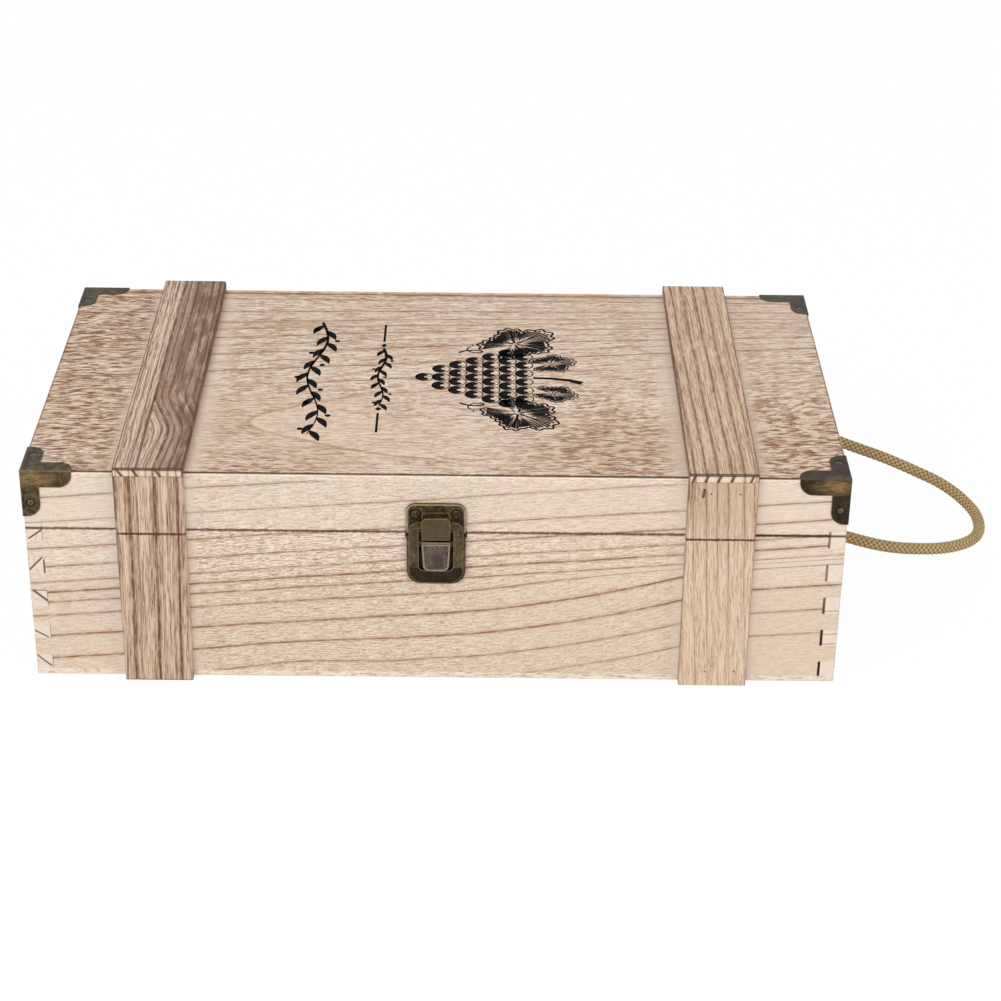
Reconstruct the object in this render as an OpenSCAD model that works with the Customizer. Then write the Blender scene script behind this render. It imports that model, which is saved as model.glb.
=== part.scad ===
// Wooden box for two wine bottles. The carcass is finger-jointed whole and then sawn
// into a base and a lid, so every joint and every front slat runs on across the saw cut.
// X runs left to right, Y front to back, Z up; the origin is at the middle of the underside.

/* [Box] */
// Length of the box, left to right
box_l = 350; // [280:1:430]
// Depth of the box, front to back
box_d = 190; // [150:1:240]
// Height of the box without the slats on top
box_h = 101; // [86:1:130]
// Height of the saw cut between base and lid
seam_z = 73.6; // [58:0.1:86]
// Thickness of the front, back and end boards
board_t = 7; // [5.5:0.5:10]
// Thickness of the top and bottom panels
panel_t = 3; // [2:0.5:5]
// Bevel sanded on the outer edges
edge_ease = 0.6; // [0.2:0.1:1.2]
// Bevel on both sides of the saw cut
seam_ease = 0.3; // [0.1:0.1:0.6]
// Corner radius of the bottom panel, seen from above
bottom_corner_r = 2.5; // [1:0.5:5]

/* [Finger joints] */
// Height of one finger
finger_h = 8.15; // [5:0.05:16]
// Height of the lowest finger
first_finger_h = 7.5; // [4:0.1:14]
// Gap left at the bottom of each finger socket
joint_gap = 0.2; // [0.1:0.05:0.4]

/* [Slats] */
// Width of a slat
slat_w = 29.5; // [18:0.5:40]
// Thickness of a slat
slat_t = 4.2; // [3:0.2:7]
// Distance between the middles of the left and right slats
slat_pitch = 242; // [180:1:260]
// Overhang of the top slats past the back of the box
slat_overhang = 1; // [0:0.5:1.5]
// Bevel on the slats' edges
slat_ease = 0.4; // [0.2:0.1:1]
// Size of the worn corner at the back of the left top slat
slat_worn = 2.2; // [1:0.1:4]

/* [Inside] */
// Thickness of the board between the bottles
divider_t = 5; // [3:0.5:9]
// Height of the board between the bottles, above the bottom panel
divider_h = 58; // [30:1:60]
// Depth of the grooves that hold that board
groove_depth = 2; // [1:0.5:3]
// Play of that board in its grooves, in all
groove_play = 0.2; // [0.1:0.1:0.6]

/* [Rope handle] */
// Diameter of the rope
rope_d = 5; // [3:0.5:5.5]
// Distance between the two rope holes
rope_pitch = 100; // [100:1:100]
// Height of the rope holes
rope_z = 49; // [49:1:49]
// Play of the rope in its holes, all round
rope_play = 0.5; // [0.2:0.1:1.5]

/* [Corner protectors] */
// Length of a protector's legs, from the corner
guard_leg = 21.5; // [16:0.5:27]
// Width of a leg on each face
guard_w = 7.5; // [6.5:0.5:11]
// Radius at the end of a leg
guard_r = 6; // [3:0.5:6]
// Thickness of the sheet
guard_t = 0.4; // [0.3:0.05:1]
// Distance of the nails from the corner, along the leg
nail_along = 14.9; // [11:0.1:17]
// Distance of the nails from the edge
nail_in = 3.4; // [2.6:0.1:5]
// Length of a nail
nail_l = 8; // [5:0.5:12]

/* [Latch plates] */
// Width of the two latch plates
latch_w = 25.2; // [23:0.2:30]
// Height of the catch plate on the lid
catch_h = 13.8; // [13:0.1:17]
// Height of the latch plate on the base
latch_base_h = 23.3; // [23:0.1:30]
// Gap between the saw cut and the plates on both its sides
catch_gap = 0.3; // [0.2:0.1:1]
// Gap between the base plate's shoulders and the saw cut
base_gap = 1.7; // [0.8:0.1:1.8]
// Width of the base plate's middle, which reaches up to the saw cut
base_neck_w = 20; // [15:0.5:22]
// Thickness of the plates
latch_t = 0.6; // [0.5:0.1:0.8]
// Width of the raised rim round the plates
rim_w = 0.7; // [0.5:0.1:1]
// Height of the raised rim above the plates
rim_h = 0.5; // [0.3:0.1:0.7]
// Corner radius of the catch plate
catch_r = 3.8; // [2:0.1:5]
// Corner radius of the base plate
latch_base_r = 6.5; // [3:0.1:8]

/* [Latch hook] */
// Width of the hook's tongue
tongue_w = 12; // [9:0.1:12.6]
// Height of the tongue
tongue_h = 10.4; // [9:0.1:10.4]
// Corner radius of the tongue
tongue_r = 2; // [0.5:0.1:3]
// Thickness of the tongue
tongue_t = 1; // [0.8:0.1:1.4]
// Distance from the box to the inside of the tongue
tongue_out = 4.4; // [4.4:0.1:5]
// Width of the neck that carries the tongue
neck_w = 4; // [3:0.1:5]

/* [Latch lever and frame] */
// Width of the lever at its pivot
lever_w = 12.2; // [10:0.1:12.8]
// Width of the lever at its free end
lever_end_w = 11; // [8:0.1:12]
// Reach of the lever below its pivot
lever_reach = 12.9; // [11:0.1:14]
// Corner radius at the free end of the lever
lever_r = 2.6; // [1:0.1:4]
// Radius of the lever's pivot barrel
barrel_r = 1.3; // [1.2:0.05:1.3]
// Width of the frame's window, past the lever on each side
window_side = 1.4; // [1.2:0.05:1.6]
// Radius of the window's lower corners
window_r = 2.8; // [1:0.1:4]
// Thickness of the frame
frame_t = 0.8; // [0.6:0.1:0.9]
// Radius of the frame's shoulders
frame_r = 4.2; // [2:0.1:5]
// Radius of the frame's lower corners
frame_low_r = 6.4; // [3:0.1:8]
// Angle at which the frame's lower part bends back to the box
frame_bend = 6.5; // [0:0.5:6.5]
// Radius of the lever's pivot pin
pivot_r = 0.7; // [0.5:0.05:0.8]
// Radius of the frame's pin
draw_r = 0.5; // [0.4:0.05:0.55]
// Running clearance of a pin in its hole, all round
pin_play = 0.05; // [0.03:0.01:0.08]

/* [Hinges] */
// Distance between the middles of the two hinges
hinge_pitch = 220; // [160:1:240]
// Length of a hinge
hinge_l = 26; // [20:1:36]
// Height of a hinge leaf
leaf_h = 9.5; // [8:0.5:12]
// Thickness of a hinge leaf
leaf_t = 0.8; // [0.6:0.1:1.2]
// Outer radius of the hinge knuckles
knuckle_r = 1.9; // [1.6:0.1:2.4]
// Radius of the hinge pin
hinge_pin_r = 0.9; // [0.7:0.05:1.1]

/* [Screws] */
// Radius of the latch screws' heads
screw_head_r = 1.9; // [1.5:0.1:2.1]
// Height of the latch screws' heads
screw_head_h = 0.65; // [0.4:0.05:0.7]
// Radius of a screw's shank
screw_r = 0.85; // [0.6:0.05:1]
// Depth of a screw in the wood
screw_depth = 5; // [3:0.5:5.2]
// Distance between the two screws of the catch plate
catch_screw_pitch = 17.4; // [16:0.2:19]
// Distance between the two screws of the latch's base plate
base_screw_pitch = 5.8; // [4.4:0.2:6]
// Distance between the two screws of a hinge leaf
leaf_screw_pitch = 17; // [12:0.5:26]

/* [Hidden] */
$fn = 24;
// Sides of the small round parts, such as screws, nails, knuckles and knots
small_fn = 14;

// Screws' points and cross recesses
screw_point = 1.5;
recess_w = 0.45;
recess_d = 0.35;

// Overshoot of a cutting solid past the face that it cuts
cut = 1;
// Play of a screw or nail in its hole, all round
pilot_play = 0.05;

// Finger joints
carcass_h = box_h - 2 * panel_t;
finger_count = ceil((carcass_h - first_finger_h) / finger_h) + 1;
socket_d = board_t + joint_gap;

// Nails of the corner protectors and the dimples that they sit in
nail_r = 0.6;
nail_head_r = 1.25;
nail_dome = 0.25;
nail_point = 1.5;
sink_r = 1.9;
fold_ease = 0.75 * guard_t;

// Latch, as heights and distances from the front face
catch_z = seam_z + catch_gap;
catch_screw_z = catch_z + 8.7;
platform_h = 9.4;
platform_out = 0.35;
platform_r = 1;
base_plate_z = seam_z - base_gap - latch_base_h;
base_screw_z = seam_z - 13.1;
pivot_z = seam_z - 4.1;
pivot_out = 2.2;
draw_z = pivot_z - 5;
draw_out = 1.75;
lever_t = 0.8;
lever_out = pivot_out + barrel_r - lever_t;
lip_w = 0.65;
lip_h = 0.2;
flange_t = 0.7;
flange_clear = 0.35;
// Width over the lever's flanges, which stand inside its narrower end
flange_w = min(lever_w, lever_end_w);
ear_gap = 0.2;
ear_t = 0.7;
ear_r = 1.5;
frame_play = 0.3;
frame_w = latch_w - 2 * (rim_w + frame_play);
window_w = lever_w + 2 * window_side;
frame_out = 1.8;
frame_bend_z = pivot_z - 11.8;
frame_low_z = pivot_z - 20;
frame_top_z = seam_z + 6.1;
window_low_z = pivot_z - 13.7;
window_top_z = frame_top_z - 3;
lug_h = 0.9;
lug_gap = neck_w + 1.6;
// Extra width of the crossbar's opening past the tongue on each side
tongue_play = 0.4;
draw_ear_t = 0.8;
draw_ear_r = 0.95;
tongue_z = seam_z - 1;
neck_z = catch_z + 0.5;
neck_top_z = frame_top_z - lug_h - 0.5;

// Hinges
leaf_clear = 0.3;
hinge_out = knuckle_r + leaf_clear;
leaf_r = 1.5;
// Head of a hinge pin: radius and height past the knuckle, from the middle of its dome inwards
pin_end = [
    [0, 0.7], [hinge_pin_r * 0.8, 0.6], [hinge_pin_r + 0.4, 0.2], [hinge_pin_r + 0.4, 0],
    [hinge_pin_r, 0]
];
knuckle_n = 3;
knuckle_l = hinge_l / knuckle_n;
knuckle_gap = 0.15;
leaf_screw_in = 6;
leaf_sink_r = 1.65;

// Rope: its points leave the inner face of the right end, run round the loop and come back
rope_sides = 10;
rope_route = [
    [168, 50, 49], [176, 50, 49], [184, 50, 47.5], [193, 49, 44.5], [202, 47, 42], [211, 45, 39.5],
    [220, 42, 37], [229, 38, 34.5], [237, 33.5, 32.5], [244, 27, 30.5], [249, 19, 29], [252, 10, 28.3],
    [252.5, 1, 28], [251, -8, 28.5], [247.5, -16.5, 29.5], [242, -24, 31], [235, -31, 33],
    [226.5, -37, 35.2], [217, -42, 37.8], [207.5, -45.8, 40.3], [198, -48.2, 43], [189.5, -49.5, 45.8],
    [182, -50, 48.2], [176, -50, 49], [168, -50, 49]
];
// Direction that the rope never runs in, to turn its rings from
rope_up = [0.26, 0, 0.97];
// Stopper knot: radius of the turns, step between them and length of the tail
knot_turn_r = 3.2;
knot_step = 4.2;
knot_tail = 7;

// ---------------------------------------------------------------- profiles and blocks

// Rectangle with its four corners bevelled: low bevels the bottom two, high the top two
module bevelled_rect(w, h, low, high) {
    polygon([
        [-w / 2 + low, 0], [w / 2 - low, 0], [w / 2, low], [w / 2, h - high],
        [w / 2 - high, h], [-w / 2 + high, h], [-w / 2, h - high], [-w / 2, low]
    ]);
}

// Block on the XY plane, centred in X and Y, with bevelled edges
module eased_block(size, side, low, high) {
    intersection() {
        translate([0, -size.y / 2, 0])
            linear_extrude(size.z)
                bevelled_rect(size.x, size.y, side, side);
        translate([-size.x / 2, 0, 0])
            rotate([90, 0, 90])
                linear_extrude(size.x)
                    bevelled_rect(size.y, size.z, low, high);
        translate([0, size.y / 2, 0])
            rotate([90, 0, 0])
                linear_extrude(size.y)
                    bevelled_rect(size.x, size.z, low, high);
    }
}

// Rectangle centred in X, standing on Y = 0, with its two upper corners rounded
module tab(w, h, r) {
    translate([-w / 2, 0])
        square([w, h - r]);
    translate([-w / 2 + r, 0])
        square([w - 2 * r, h]);
    for (side = [-1, 1])
        translate([side * (w / 2 - r), h - r])
            circle(r);
}

// Places a shape drawn in X and height on the front face, growing outwards
module on_front() {
    translate([0, -box_d / 2, 0])
        rotate([90, 0, 0])
            children();
}

// The same on the back face
module on_back() {
    translate([0, box_d / 2, 0])
        rotate([90, 0, 180])
            children();
}

// Extrudes a side view, drawn as distance from the front face and height, along X
module across(x_mid, width) {
    translate([x_mid + width / 2, -box_d / 2, 0])
        rotate([90, 0, -90])
            linear_extrude(width)
                children();
}

// ---------------------------------------------------------------- carcass

// Height of the lower edge of finger i; the even fingers belong to the end boards
function finger_edge(i) =
    i <= 0 ? panel_t : min(panel_t + first_finger_h + (i - 1) * finger_h, box_h - panel_t);

// Sockets in one end of a board for every second finger, starting with finger first
module sockets(first, reach, thickness) {
    for (i = [first : 2 : finger_count - 1])
        translate([-cut, -cut, finger_edge(i)])
            cube([reach + cut, thickness + 2 * cut, finger_edge(i + 1) - finger_edge(i)]);
}

// Front board before the box is sawn, with sockets for the end boards' fingers
module long_board() {
    difference() {
        translate([-box_l / 2, -box_d / 2, panel_t])
            cube([box_l, board_t, carcass_h]);
        for (side = [0, 1])
            mirror([side, 0, 0])
                translate([-box_l / 2, -box_d / 2, 0])
                    sockets(0, socket_d, board_t);
    }
}

// Left end board before the box is sawn
module end_board() {
    difference() {
        translate([-box_l / 2, -box_d / 2, panel_t])
            cube([board_t, box_d, carcass_h]);
        for (side = [0, 1])
            mirror([0, side, 0])
                translate([-box_l / 2 + board_t, -box_d / 2, 0])
                    rotate([0, 0, 90])
                        sockets(1, socket_d, board_t);
    }
}

// What the saw leaves below the cut
module base_part() {
    intersection() {
        children();
        eased_block([box_l, box_d, seam_z], edge_ease, edge_ease, seam_ease);
    }
}

// What the saw leaves above the cut
module lid_part() {
    intersection() {
        children();
        translate([0, 0, seam_z])
            eased_block([box_l, box_d, box_h - seam_z], edge_ease, seam_ease, edge_ease);
    }
}

module base_front_board() {
    color("#E6D5C3")
        difference() {
            base_part()
                long_board();
            base_screw_shanks(screw_r + pilot_play);
        }
}

module base_back_board() {
    color("#E2D0BC")
        difference() {
            base_part()
                mirror([0, 1, 0])
                    long_board();
            hinge_screw_shanks(-1, screw_r + pilot_play);
        }
}

module divider_groove() {
    width = divider_t + groove_play;
    translate([-box_l / 2 + board_t - groove_depth, -width / 2, panel_t])
        cube([groove_depth + cut, width, seam_z]);
}

module base_left_end() {
    color("#DCC9B2")
        difference() {
            base_part()
                end_board();
            divider_groove();
        }
}

module base_right_end() {
    color("#DCC9B2")
        difference() {
            base_part()
                mirror([1, 0, 0])
                    end_board();
            mirror([1, 0, 0])
                divider_groove();
            rope_holes();
        }
}

module bottom_panel() {
    color("#E9DCC9")
        intersection() {
            base_part()
                translate([-box_l / 2, -box_d / 2, 0])
                    cube([box_l, box_d, panel_t]);
            linear_extrude(panel_t)
                union() {
                    for (turn = [0, 1])
                        mirror([0, turn])
                            translate([0, -box_d / 2])
                                tab(box_l, box_d / 2 + bottom_corner_r + cut, bottom_corner_r, $fn = 32);
                }
        }
}

module bottle_divider() {
    width = box_l - 2 * (board_t - groove_depth);
    color("#E4D3BE")
        translate([-width / 2, -divider_t / 2, panel_t])
            cube([width, divider_t, divider_h]);
}

module lid_front_board() {
    color("#E6D5C3")
        difference() {
            lid_part()
                long_board();
            catch_screw_shanks(screw_r + pilot_play);
            nail_shanks(nail_r + pilot_play);
        }
}

module lid_back_board() {
    color("#E2D0BC")
        difference() {
            lid_part()
                mirror([0, 1, 0])
                    long_board();
            hinge_screw_shanks(1, screw_r + pilot_play);
            nail_shanks(nail_r + pilot_play);
        }
}

module lid_end(side) {
    color("#DCC9B2")
        difference() {
            lid_part()
                mirror([side, 0, 0])
                    end_board();
            nail_shanks(nail_r + pilot_play);
        }
}

module lid_top_panel() {
    color("#C6A98C")
        difference() {
            lid_part()
                translate([-box_l / 2, -box_d / 2, box_h - panel_t])
                    cube([box_l, box_d, panel_t]);
            nail_shanks(nail_r + pilot_play);
        }
}

// ---------------------------------------------------------------- slats

module front_slat(side, z_low, z_high) {
    color("#B8936F")
        translate([side * slat_pitch / 2, -box_d / 2 - slat_t / 2, z_low])
            eased_block([slat_w, slat_t, z_high - z_low], slat_ease, slat_ease, slat_ease);
}

// What is worn away from a corner at the origin whose wood lies at -X and -Y
module worn_corner() {
    translate([0, 0, -cut])
        linear_extrude(slat_t + 2 * cut)
            polygon([
                [-slat_worn, slat_worn * 0.15], [-slat_worn * 0.45, -slat_worn * 0.12],
                [-slat_worn * 0.12, -slat_worn * 0.45], [slat_worn * 0.15, -slat_worn],
                [slat_worn, -slat_worn], [slat_worn, slat_worn], [-slat_worn, slat_worn]
            ]);
}

// The top slats cover the ends of the front slats and stand out a little at the back
module top_slat(side) {
    length = box_d + slat_t + slat_overhang;
    color("#A07B58")
        translate([side * slat_pitch / 2, length / 2 - box_d / 2 - slat_t, box_h])
            difference() {
                eased_block([slat_w, length, slat_t], slat_ease, slat_ease, slat_ease);
                if (side < 0)
                    translate([slat_w / 2, length / 2, 0])
                        worn_corner();
            }
}

// ---------------------------------------------------------------- rope handle

module rope_holes() {
    for (side = [-1, 1])
        translate([box_l / 2 - board_t - cut, side * rope_pitch / 2, rope_z])
            rotate([0, 90, 0])
                cylinder(r = rope_d / 2 + rope_play, h = board_t + 2 * cut);
}

function unit(v) = v / norm(v);

// Direction of the route at point i
function heading(route, i) =
    unit(route[min(i + 1, len(route) - 1)] - route[max(i - 1, 0)]);

// Points of one ring round point i of the route, across its direction
function ring(route, i, r, sides) =
    let (
        ahead = heading(route, i),
        out = unit(cross(ahead, rope_up)),
        over = cross(out, ahead)
    )
    [for (k = [0 : sides - 1])
        route[i] + r * (cos(360 * k / sides) * out + sin(360 * k / sides) * over)];

// Closed tube along a route
module tube(route, r, sides) {
    rings = len(route);
    points = [for (i = [0 : rings - 1]) each ring(route, i, r, sides)];
    walls = [
        for (i = [0 : rings - 2], k = [0 : sides - 1])
            let (a = i * sides + k, b = i * sides + (k + 1) % sides)
            each [[a, b, b + sides], [a, b + sides, a + sides]]
    ];
    caps = [
        [for (k = [sides - 1 : -1 : 0]) k],
        [for (k = [0 : sides - 1]) (rings - 1) * sides + k]
    ];
    polyhedron(points, concat(walls, caps));
}

module rope_handle() {
    color("#C9B184")
        tube(rope_route, rope_d / 2, rope_sides);
}

// Stopper knots against the inner face of the right end: two turns round the rope and a tail
module rope_knots() {
    $fn = small_fn;
    r = rope_d / 2;
    color("#C2A878")
        for (side = [-1, 1])
            translate([box_l / 2 - board_t, side * rope_pitch / 2, rope_z])
                rotate([0, -90, 0])
                    union() {
                        cylinder(r = knot_turn_r, h = 2 * r + knot_step);
                        for (turn = [0, 1])
                            translate([0, 0, r + turn * knot_step])
                                rotate_extrude()
                                    translate([knot_turn_r, 0])
                                        circle(r);
                        cylinder(r = r, h = 2 * r + knot_step + knot_tail);
                    }
}

// ---------------------------------------------------------------- corner protectors

// Flat leg along X with its outer corner rounded; it reaches over the fold
module guard_leg_outline() {
    translate([-guard_t, -guard_t])
        square([guard_leg - guard_r + guard_t, guard_w + guard_t]);
    translate([-guard_t, -guard_t])
        square([guard_leg + guard_t, guard_w - guard_r + guard_t]);
    translate([guard_leg - guard_r, guard_w - guard_r])
        circle(guard_r);
}

// Both legs on one face
module guard_face() {
    linear_extrude(guard_t)
        union() {
            guard_leg_outline();
            mirror([1, -1])
                guard_leg_outline();
        }
}

// Hole dimpled for a nail, along Z, with its mouth at the outer face of the sheet
module nail_sink() {
    $fn = small_fn;
    translate([0, 0, -cut])
        cylinder(r = nail_r + pilot_play, h = 2 * cut);
    cylinder(r1 = nail_r + pilot_play, r2 = sink_r, h = guard_t);
    translate([0, 0, guard_t])
        cylinder(r = sink_r, h = cut);
}

// Moves to the two nail places of a protector, Z pointing out of the wood
module nail_places() {
    translate([nail_in, nail_along, 0])
        children();
    translate([nail_in, 0, -nail_along])
        rotate([90, 0, 0])
            children();
}

// The corner of the wood is at the origin; the wood lies at +X, +Y and -Z
module guard() {
    fold = guard_leg + 2 * guard_t;
    difference() {
        intersection() {
            union() {
                guard_face();
                rotate([90, 0, 0])
                    mirror([0, 1, 0])
                        guard_face();
                translate([-guard_t, 0, 0])
                    rotate([90, 0, 90])
                        mirror([0, 1, 0])
                            guard_face();
            }
            translate([fold - guard_t, fold - guard_t, guard_t - 2 * fold])
                eased_block([2 * fold, 2 * fold, 2 * fold], fold_ease, 0, fold_ease);
        }
        nail_places()
            nail_sink();
    }
}

// Moves to one of the lid's top corners, side and end being 0 for left and front, 1 for right and back
module at_corner(side, end) {
    mirror([side, 0, 0])
        mirror([0, end, 0])
            translate([-box_l / 2, -box_d / 2, box_h])
                children();
}

module corner_guard(side, end) {
    color("#5A4C36")
        at_corner(side, end)
            guard();
}

module nail_shanks(r) {
    $fn = small_fn;
    for (side = [0, 1], end = [0, 1])
        at_corner(side, end)
            nail_places()
                translate([0, 0, -nail_l])
                    cylinder(r = r, h = nail_l + cut);
}

// Small nails whose round heads sit in the dimples
module corner_nails() {
    $fn = small_fn;
    head_h = guard_t * (nail_head_r - nail_r) / (sink_r - nail_r - pilot_play);
    color("#8A6E42")
        for (side = [0, 1], end = [0, 1])
            at_corner(side, end)
                nail_places()
                    rotate_extrude()
                        polygon([
                            [0, -nail_l], [nail_r / 3, -nail_l], [nail_r, nail_point - nail_l],
                            [nail_r, 0], [nail_head_r, head_h],
                            [nail_head_r * 0.75, head_h + nail_dome * 0.4],
                            [nail_head_r / 2, head_h + nail_dome * 0.8], [0, head_h + nail_dome]
                        ]);
}

// ---------------------------------------------------------------- screws

// Cross recess of a screw whose head ends at the given height
module cross_recess(top, length, turn) {
    for (bar = [0, 90])
        rotate([0, 0, turn + bar])
            translate([-length / 2, -recess_w / 2, top - recess_d])
                cube([length, recess_w, cut]);
}

// Wood screw along Z with a low round head and a cross recess; the head sits on Z = 0
module round_screw() {
    $fn = small_fn;
    difference() {
        union() {
            rotate_extrude()
                polygon([
                    [0, 0], [screw_head_r, 0], [screw_head_r, screw_head_h * 0.4],
                    [screw_head_r * 0.82, screw_head_h * 0.85], [screw_head_r * 0.5, screw_head_h],
                    [0, screw_head_h]
                ]);
            screw_shank(screw_r);
        }
        cross_recess(screw_head_h, 1.2 * screw_head_r, 20);
    }
}

// Shank through the sheet and into the wood, pointed
module screw_shank(r) {
    $fn = small_fn;
    rotate_extrude()
        polygon([
            [0, 0.1], [r, 0.1], [r, screw_point - screw_depth], [r / 5, -screw_depth],
            [0, -screw_depth]
        ]);
}

module catch_screw_places(out) {
    on_front()
        for (side = [-1, 1])
            translate([side * catch_screw_pitch / 2, catch_screw_z, out])
                children();
}

module base_screw_places(out) {
    on_front()
        for (side = [-1, 1])
            translate([side * base_screw_pitch / 2, base_screw_z, out])
                children();
}

module catch_screw_shanks(r) {
    $fn = small_fn;
    catch_screw_places(-screw_depth)
        cylinder(r = r, h = screw_depth + cut);
}

module base_screw_shanks(r) {
    $fn = small_fn;
    base_screw_places(-screw_depth)
        cylinder(r = r, h = screw_depth + cut);
}

// Moves to the screw places of both hinges' leaves; half is -1 for the base and 1 for the lid
module hinge_screw_places(half, out) {
    on_back()
        for (hinge = [-1, 1], side = [-1, 1])
            translate([
                hinge * hinge_pitch / 2 + side * leaf_screw_pitch / 2, seam_z + half * leaf_screw_in, out
            ])
                children();
}

module hinge_screw_shanks(half, r) {
    $fn = small_fn;
    hinge_screw_places(half, -screw_depth)
        cylinder(r = r, h = screw_depth + cut);
}

// Flat-headed screws flush with the hinge leaf
module hinge_screws(half) {
    $fn = small_fn;
    color("#7A6440")
        hinge_screw_places(half, 0)
            difference() {
                union() {
                    screw_shank(screw_r);
                    cylinder(r1 = screw_r, r2 = leaf_sink_r, h = leaf_t);
                }
                cross_recess(leaf_t, 1.2 * leaf_sink_r, 35);
            }
}

// ---------------------------------------------------------------- hinges

// X of the lower end of knuckle i of a hinge
function knuckle_x(i) = -hinge_l / 2 + i * knuckle_l + knuckle_gap / 2;

// Leaf of one hinge, drawn on the back face: half -1 is the base leaf, 1 the lid leaf
module hinge_leaf(hinge, half) {
    $fn = small_fn;
    own = half < 0 ? [0, 2] : [1];
    bore_r = half < 0 ? hinge_pin_r : hinge_pin_r + pin_play;
    color("#6B5837")
        on_back()
            translate([hinge * hinge_pitch / 2, seam_z, 0])
                mirror([0, half < 0 ? 1 : 0, 0])
                    difference() {
                        union() {
                            translate([0, hinge_out, 0])
                                linear_extrude(leaf_t)
                                    tab(hinge_l, leaf_h - hinge_out, leaf_r);
                            for (i = own)
                                translate([knuckle_x(i), 0, 0])
                                    rotate([90, 0, 90])
                                        linear_extrude(knuckle_l - knuckle_gap) {
                                            square([hinge_out + leaf_r, leaf_t]);
                                            translate([0, hinge_out])
                                                circle(knuckle_r);
                                        }
                        }
                        translate([-hinge_l / 2 - cut, 0, hinge_out])
                            rotate([0, 90, 0])
                                cylinder(r = bore_r, h = hinge_l + 2 * cut);
                        for (side = [-1, 1])
                            translate([side * leaf_screw_pitch / 2, leaf_screw_in, 0]) {
                                translate([0, 0, -cut])
                                    cylinder(r = screw_r, h = 2 * cut);
                                cylinder(r1 = screw_r, r2 = leaf_sink_r, h = leaf_t);
                            }
                    }
}

// Hinge pin with a small domed head at each end
module hinge_pin(hinge) {
    $fn = small_fn;
    color("#8C7344")
        translate([hinge * hinge_pitch / 2, box_d / 2 + hinge_out, seam_z])
            rotate([0, 90, 0])
                rotate_extrude()
                    polygon([
                        for (end = [-1, 1], i = [0 : 4])
                            let (point = pin_end[end < 0 ? i : 4 - i])
                            [point.x, end * (hinge_l / 2 + point.y)]
                    ]);
}

// ---------------------------------------------------------------- latch

// Plate on the lid, with a pressed rim on three sides and the hook: a tongue on a narrow neck,
// open at the top
module catch_plate() {
    color("#6E5E3C")
        difference() {
            union() {
                on_front()
                    translate([0, catch_z, 0]) {
                        linear_extrude(latch_t)
                            tab(latch_w, catch_h, catch_r);
                        linear_extrude(latch_t + rim_h)
                            difference() {
                                tab(latch_w, catch_h, catch_r);
                                translate([0, -cut])
                                    tab(
                                        latch_w - 2 * rim_w, catch_h - rim_w + cut,
                                        catch_r - rim_w
                                    );
                            }
                        linear_extrude(latch_t + platform_out)
                            tab(tongue_w, platform_h, platform_r);
                    }
                on_front()
                    translate([-neck_w / 2, neck_z, latch_t / 2])
                        cube([neck_w, neck_top_z - neck_z, tongue_out - latch_t / 2 + tongue_t / 2]);
                on_front()
                    translate([0, tongue_z, tongue_out])
                        linear_extrude(tongue_t)
                            tab(tongue_w, tongue_h, tongue_r);
            }
            catch_screw_places(-cut)
                cylinder(r = screw_r + pilot_play, h = latch_t + 2 * cut);
        }
}

module catch_screws() {
    color("#7A5F4A")
        catch_screw_places(latch_t)
            round_screw();
}

// Plate on the base with two ears that carry the lever's pivot pin; its middle reaches up to
// the saw cut, its shoulders stay below
module latch_base_plate() {
    color("#57492F")
        difference() {
            union() {
                on_front()
                    translate([0, base_plate_z + latch_base_h, 0])
                        mirror([0, 1, 0])
                            linear_extrude(latch_t)
                                tab(latch_w, latch_base_h, latch_base_r);
                on_front()
                    translate([-base_neck_w / 2, pivot_z, 0])
                        cube([base_neck_w, seam_z - catch_gap - pivot_z, latch_t]);
                for (side = [-1, 1])
                    across(side * (lever_w / 2 + ear_gap + ear_t / 2), ear_t)
                        union() {
                            translate([pivot_out, pivot_z])
                                circle(ear_r);
                            translate([latch_t / 2, pivot_z - ear_r])
                                square([pivot_out - latch_t / 2, 2 * ear_r]);
                        }
            }
            across(0, latch_w)
                translate([pivot_out, pivot_z])
                    circle(pivot_r);
            base_screw_places(-cut)
                cylinder(r = screw_r + pilot_play, h = latch_t + 2 * cut);
        }
}

module latch_base_screws() {
    color("#7A5F4A")
        base_screw_places(latch_t)
            round_screw();
}

module latch_pivot_pin() {
    color("#8C7344")
        across(0, lever_w + 2 * (ear_gap + ear_t) + 0.2)
            translate([pivot_out, pivot_z])
                circle(pivot_r);
}

// Side view of the lever's flanges: deep at the draw pin, shallow towards the free end
module flange_outline() {
    deep = latch_t + flange_clear;
    shallow = lever_out - lever_t;
    inside = lever_out + 0.1;
    polygon([
        [inside, pivot_z - lever_reach + 1.4], [shallow, pivot_z - lever_reach + lever_r],
        [deep, draw_z - 1.5], [deep, draw_z + 1.6], [pivot_out - 0.9, pivot_z], [inside, pivot_z]
    ]);
}

// Front view of the lever, hanging from Y = 0: it narrows a little and ends in round corners
module bill(top_w, end_w, h, r) {
    polygon([[-top_w / 2, 0], [top_w / 2, 0], [end_w / 2, r - h], [-end_w / 2, r - h]]);
    translate([-end_w / 2 + r, -h])
        square([end_w - 2 * r, h]);
    for (side = [-1, 1])
        translate([side * (end_w / 2 - r), r - h])
            circle(r);
}

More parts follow.
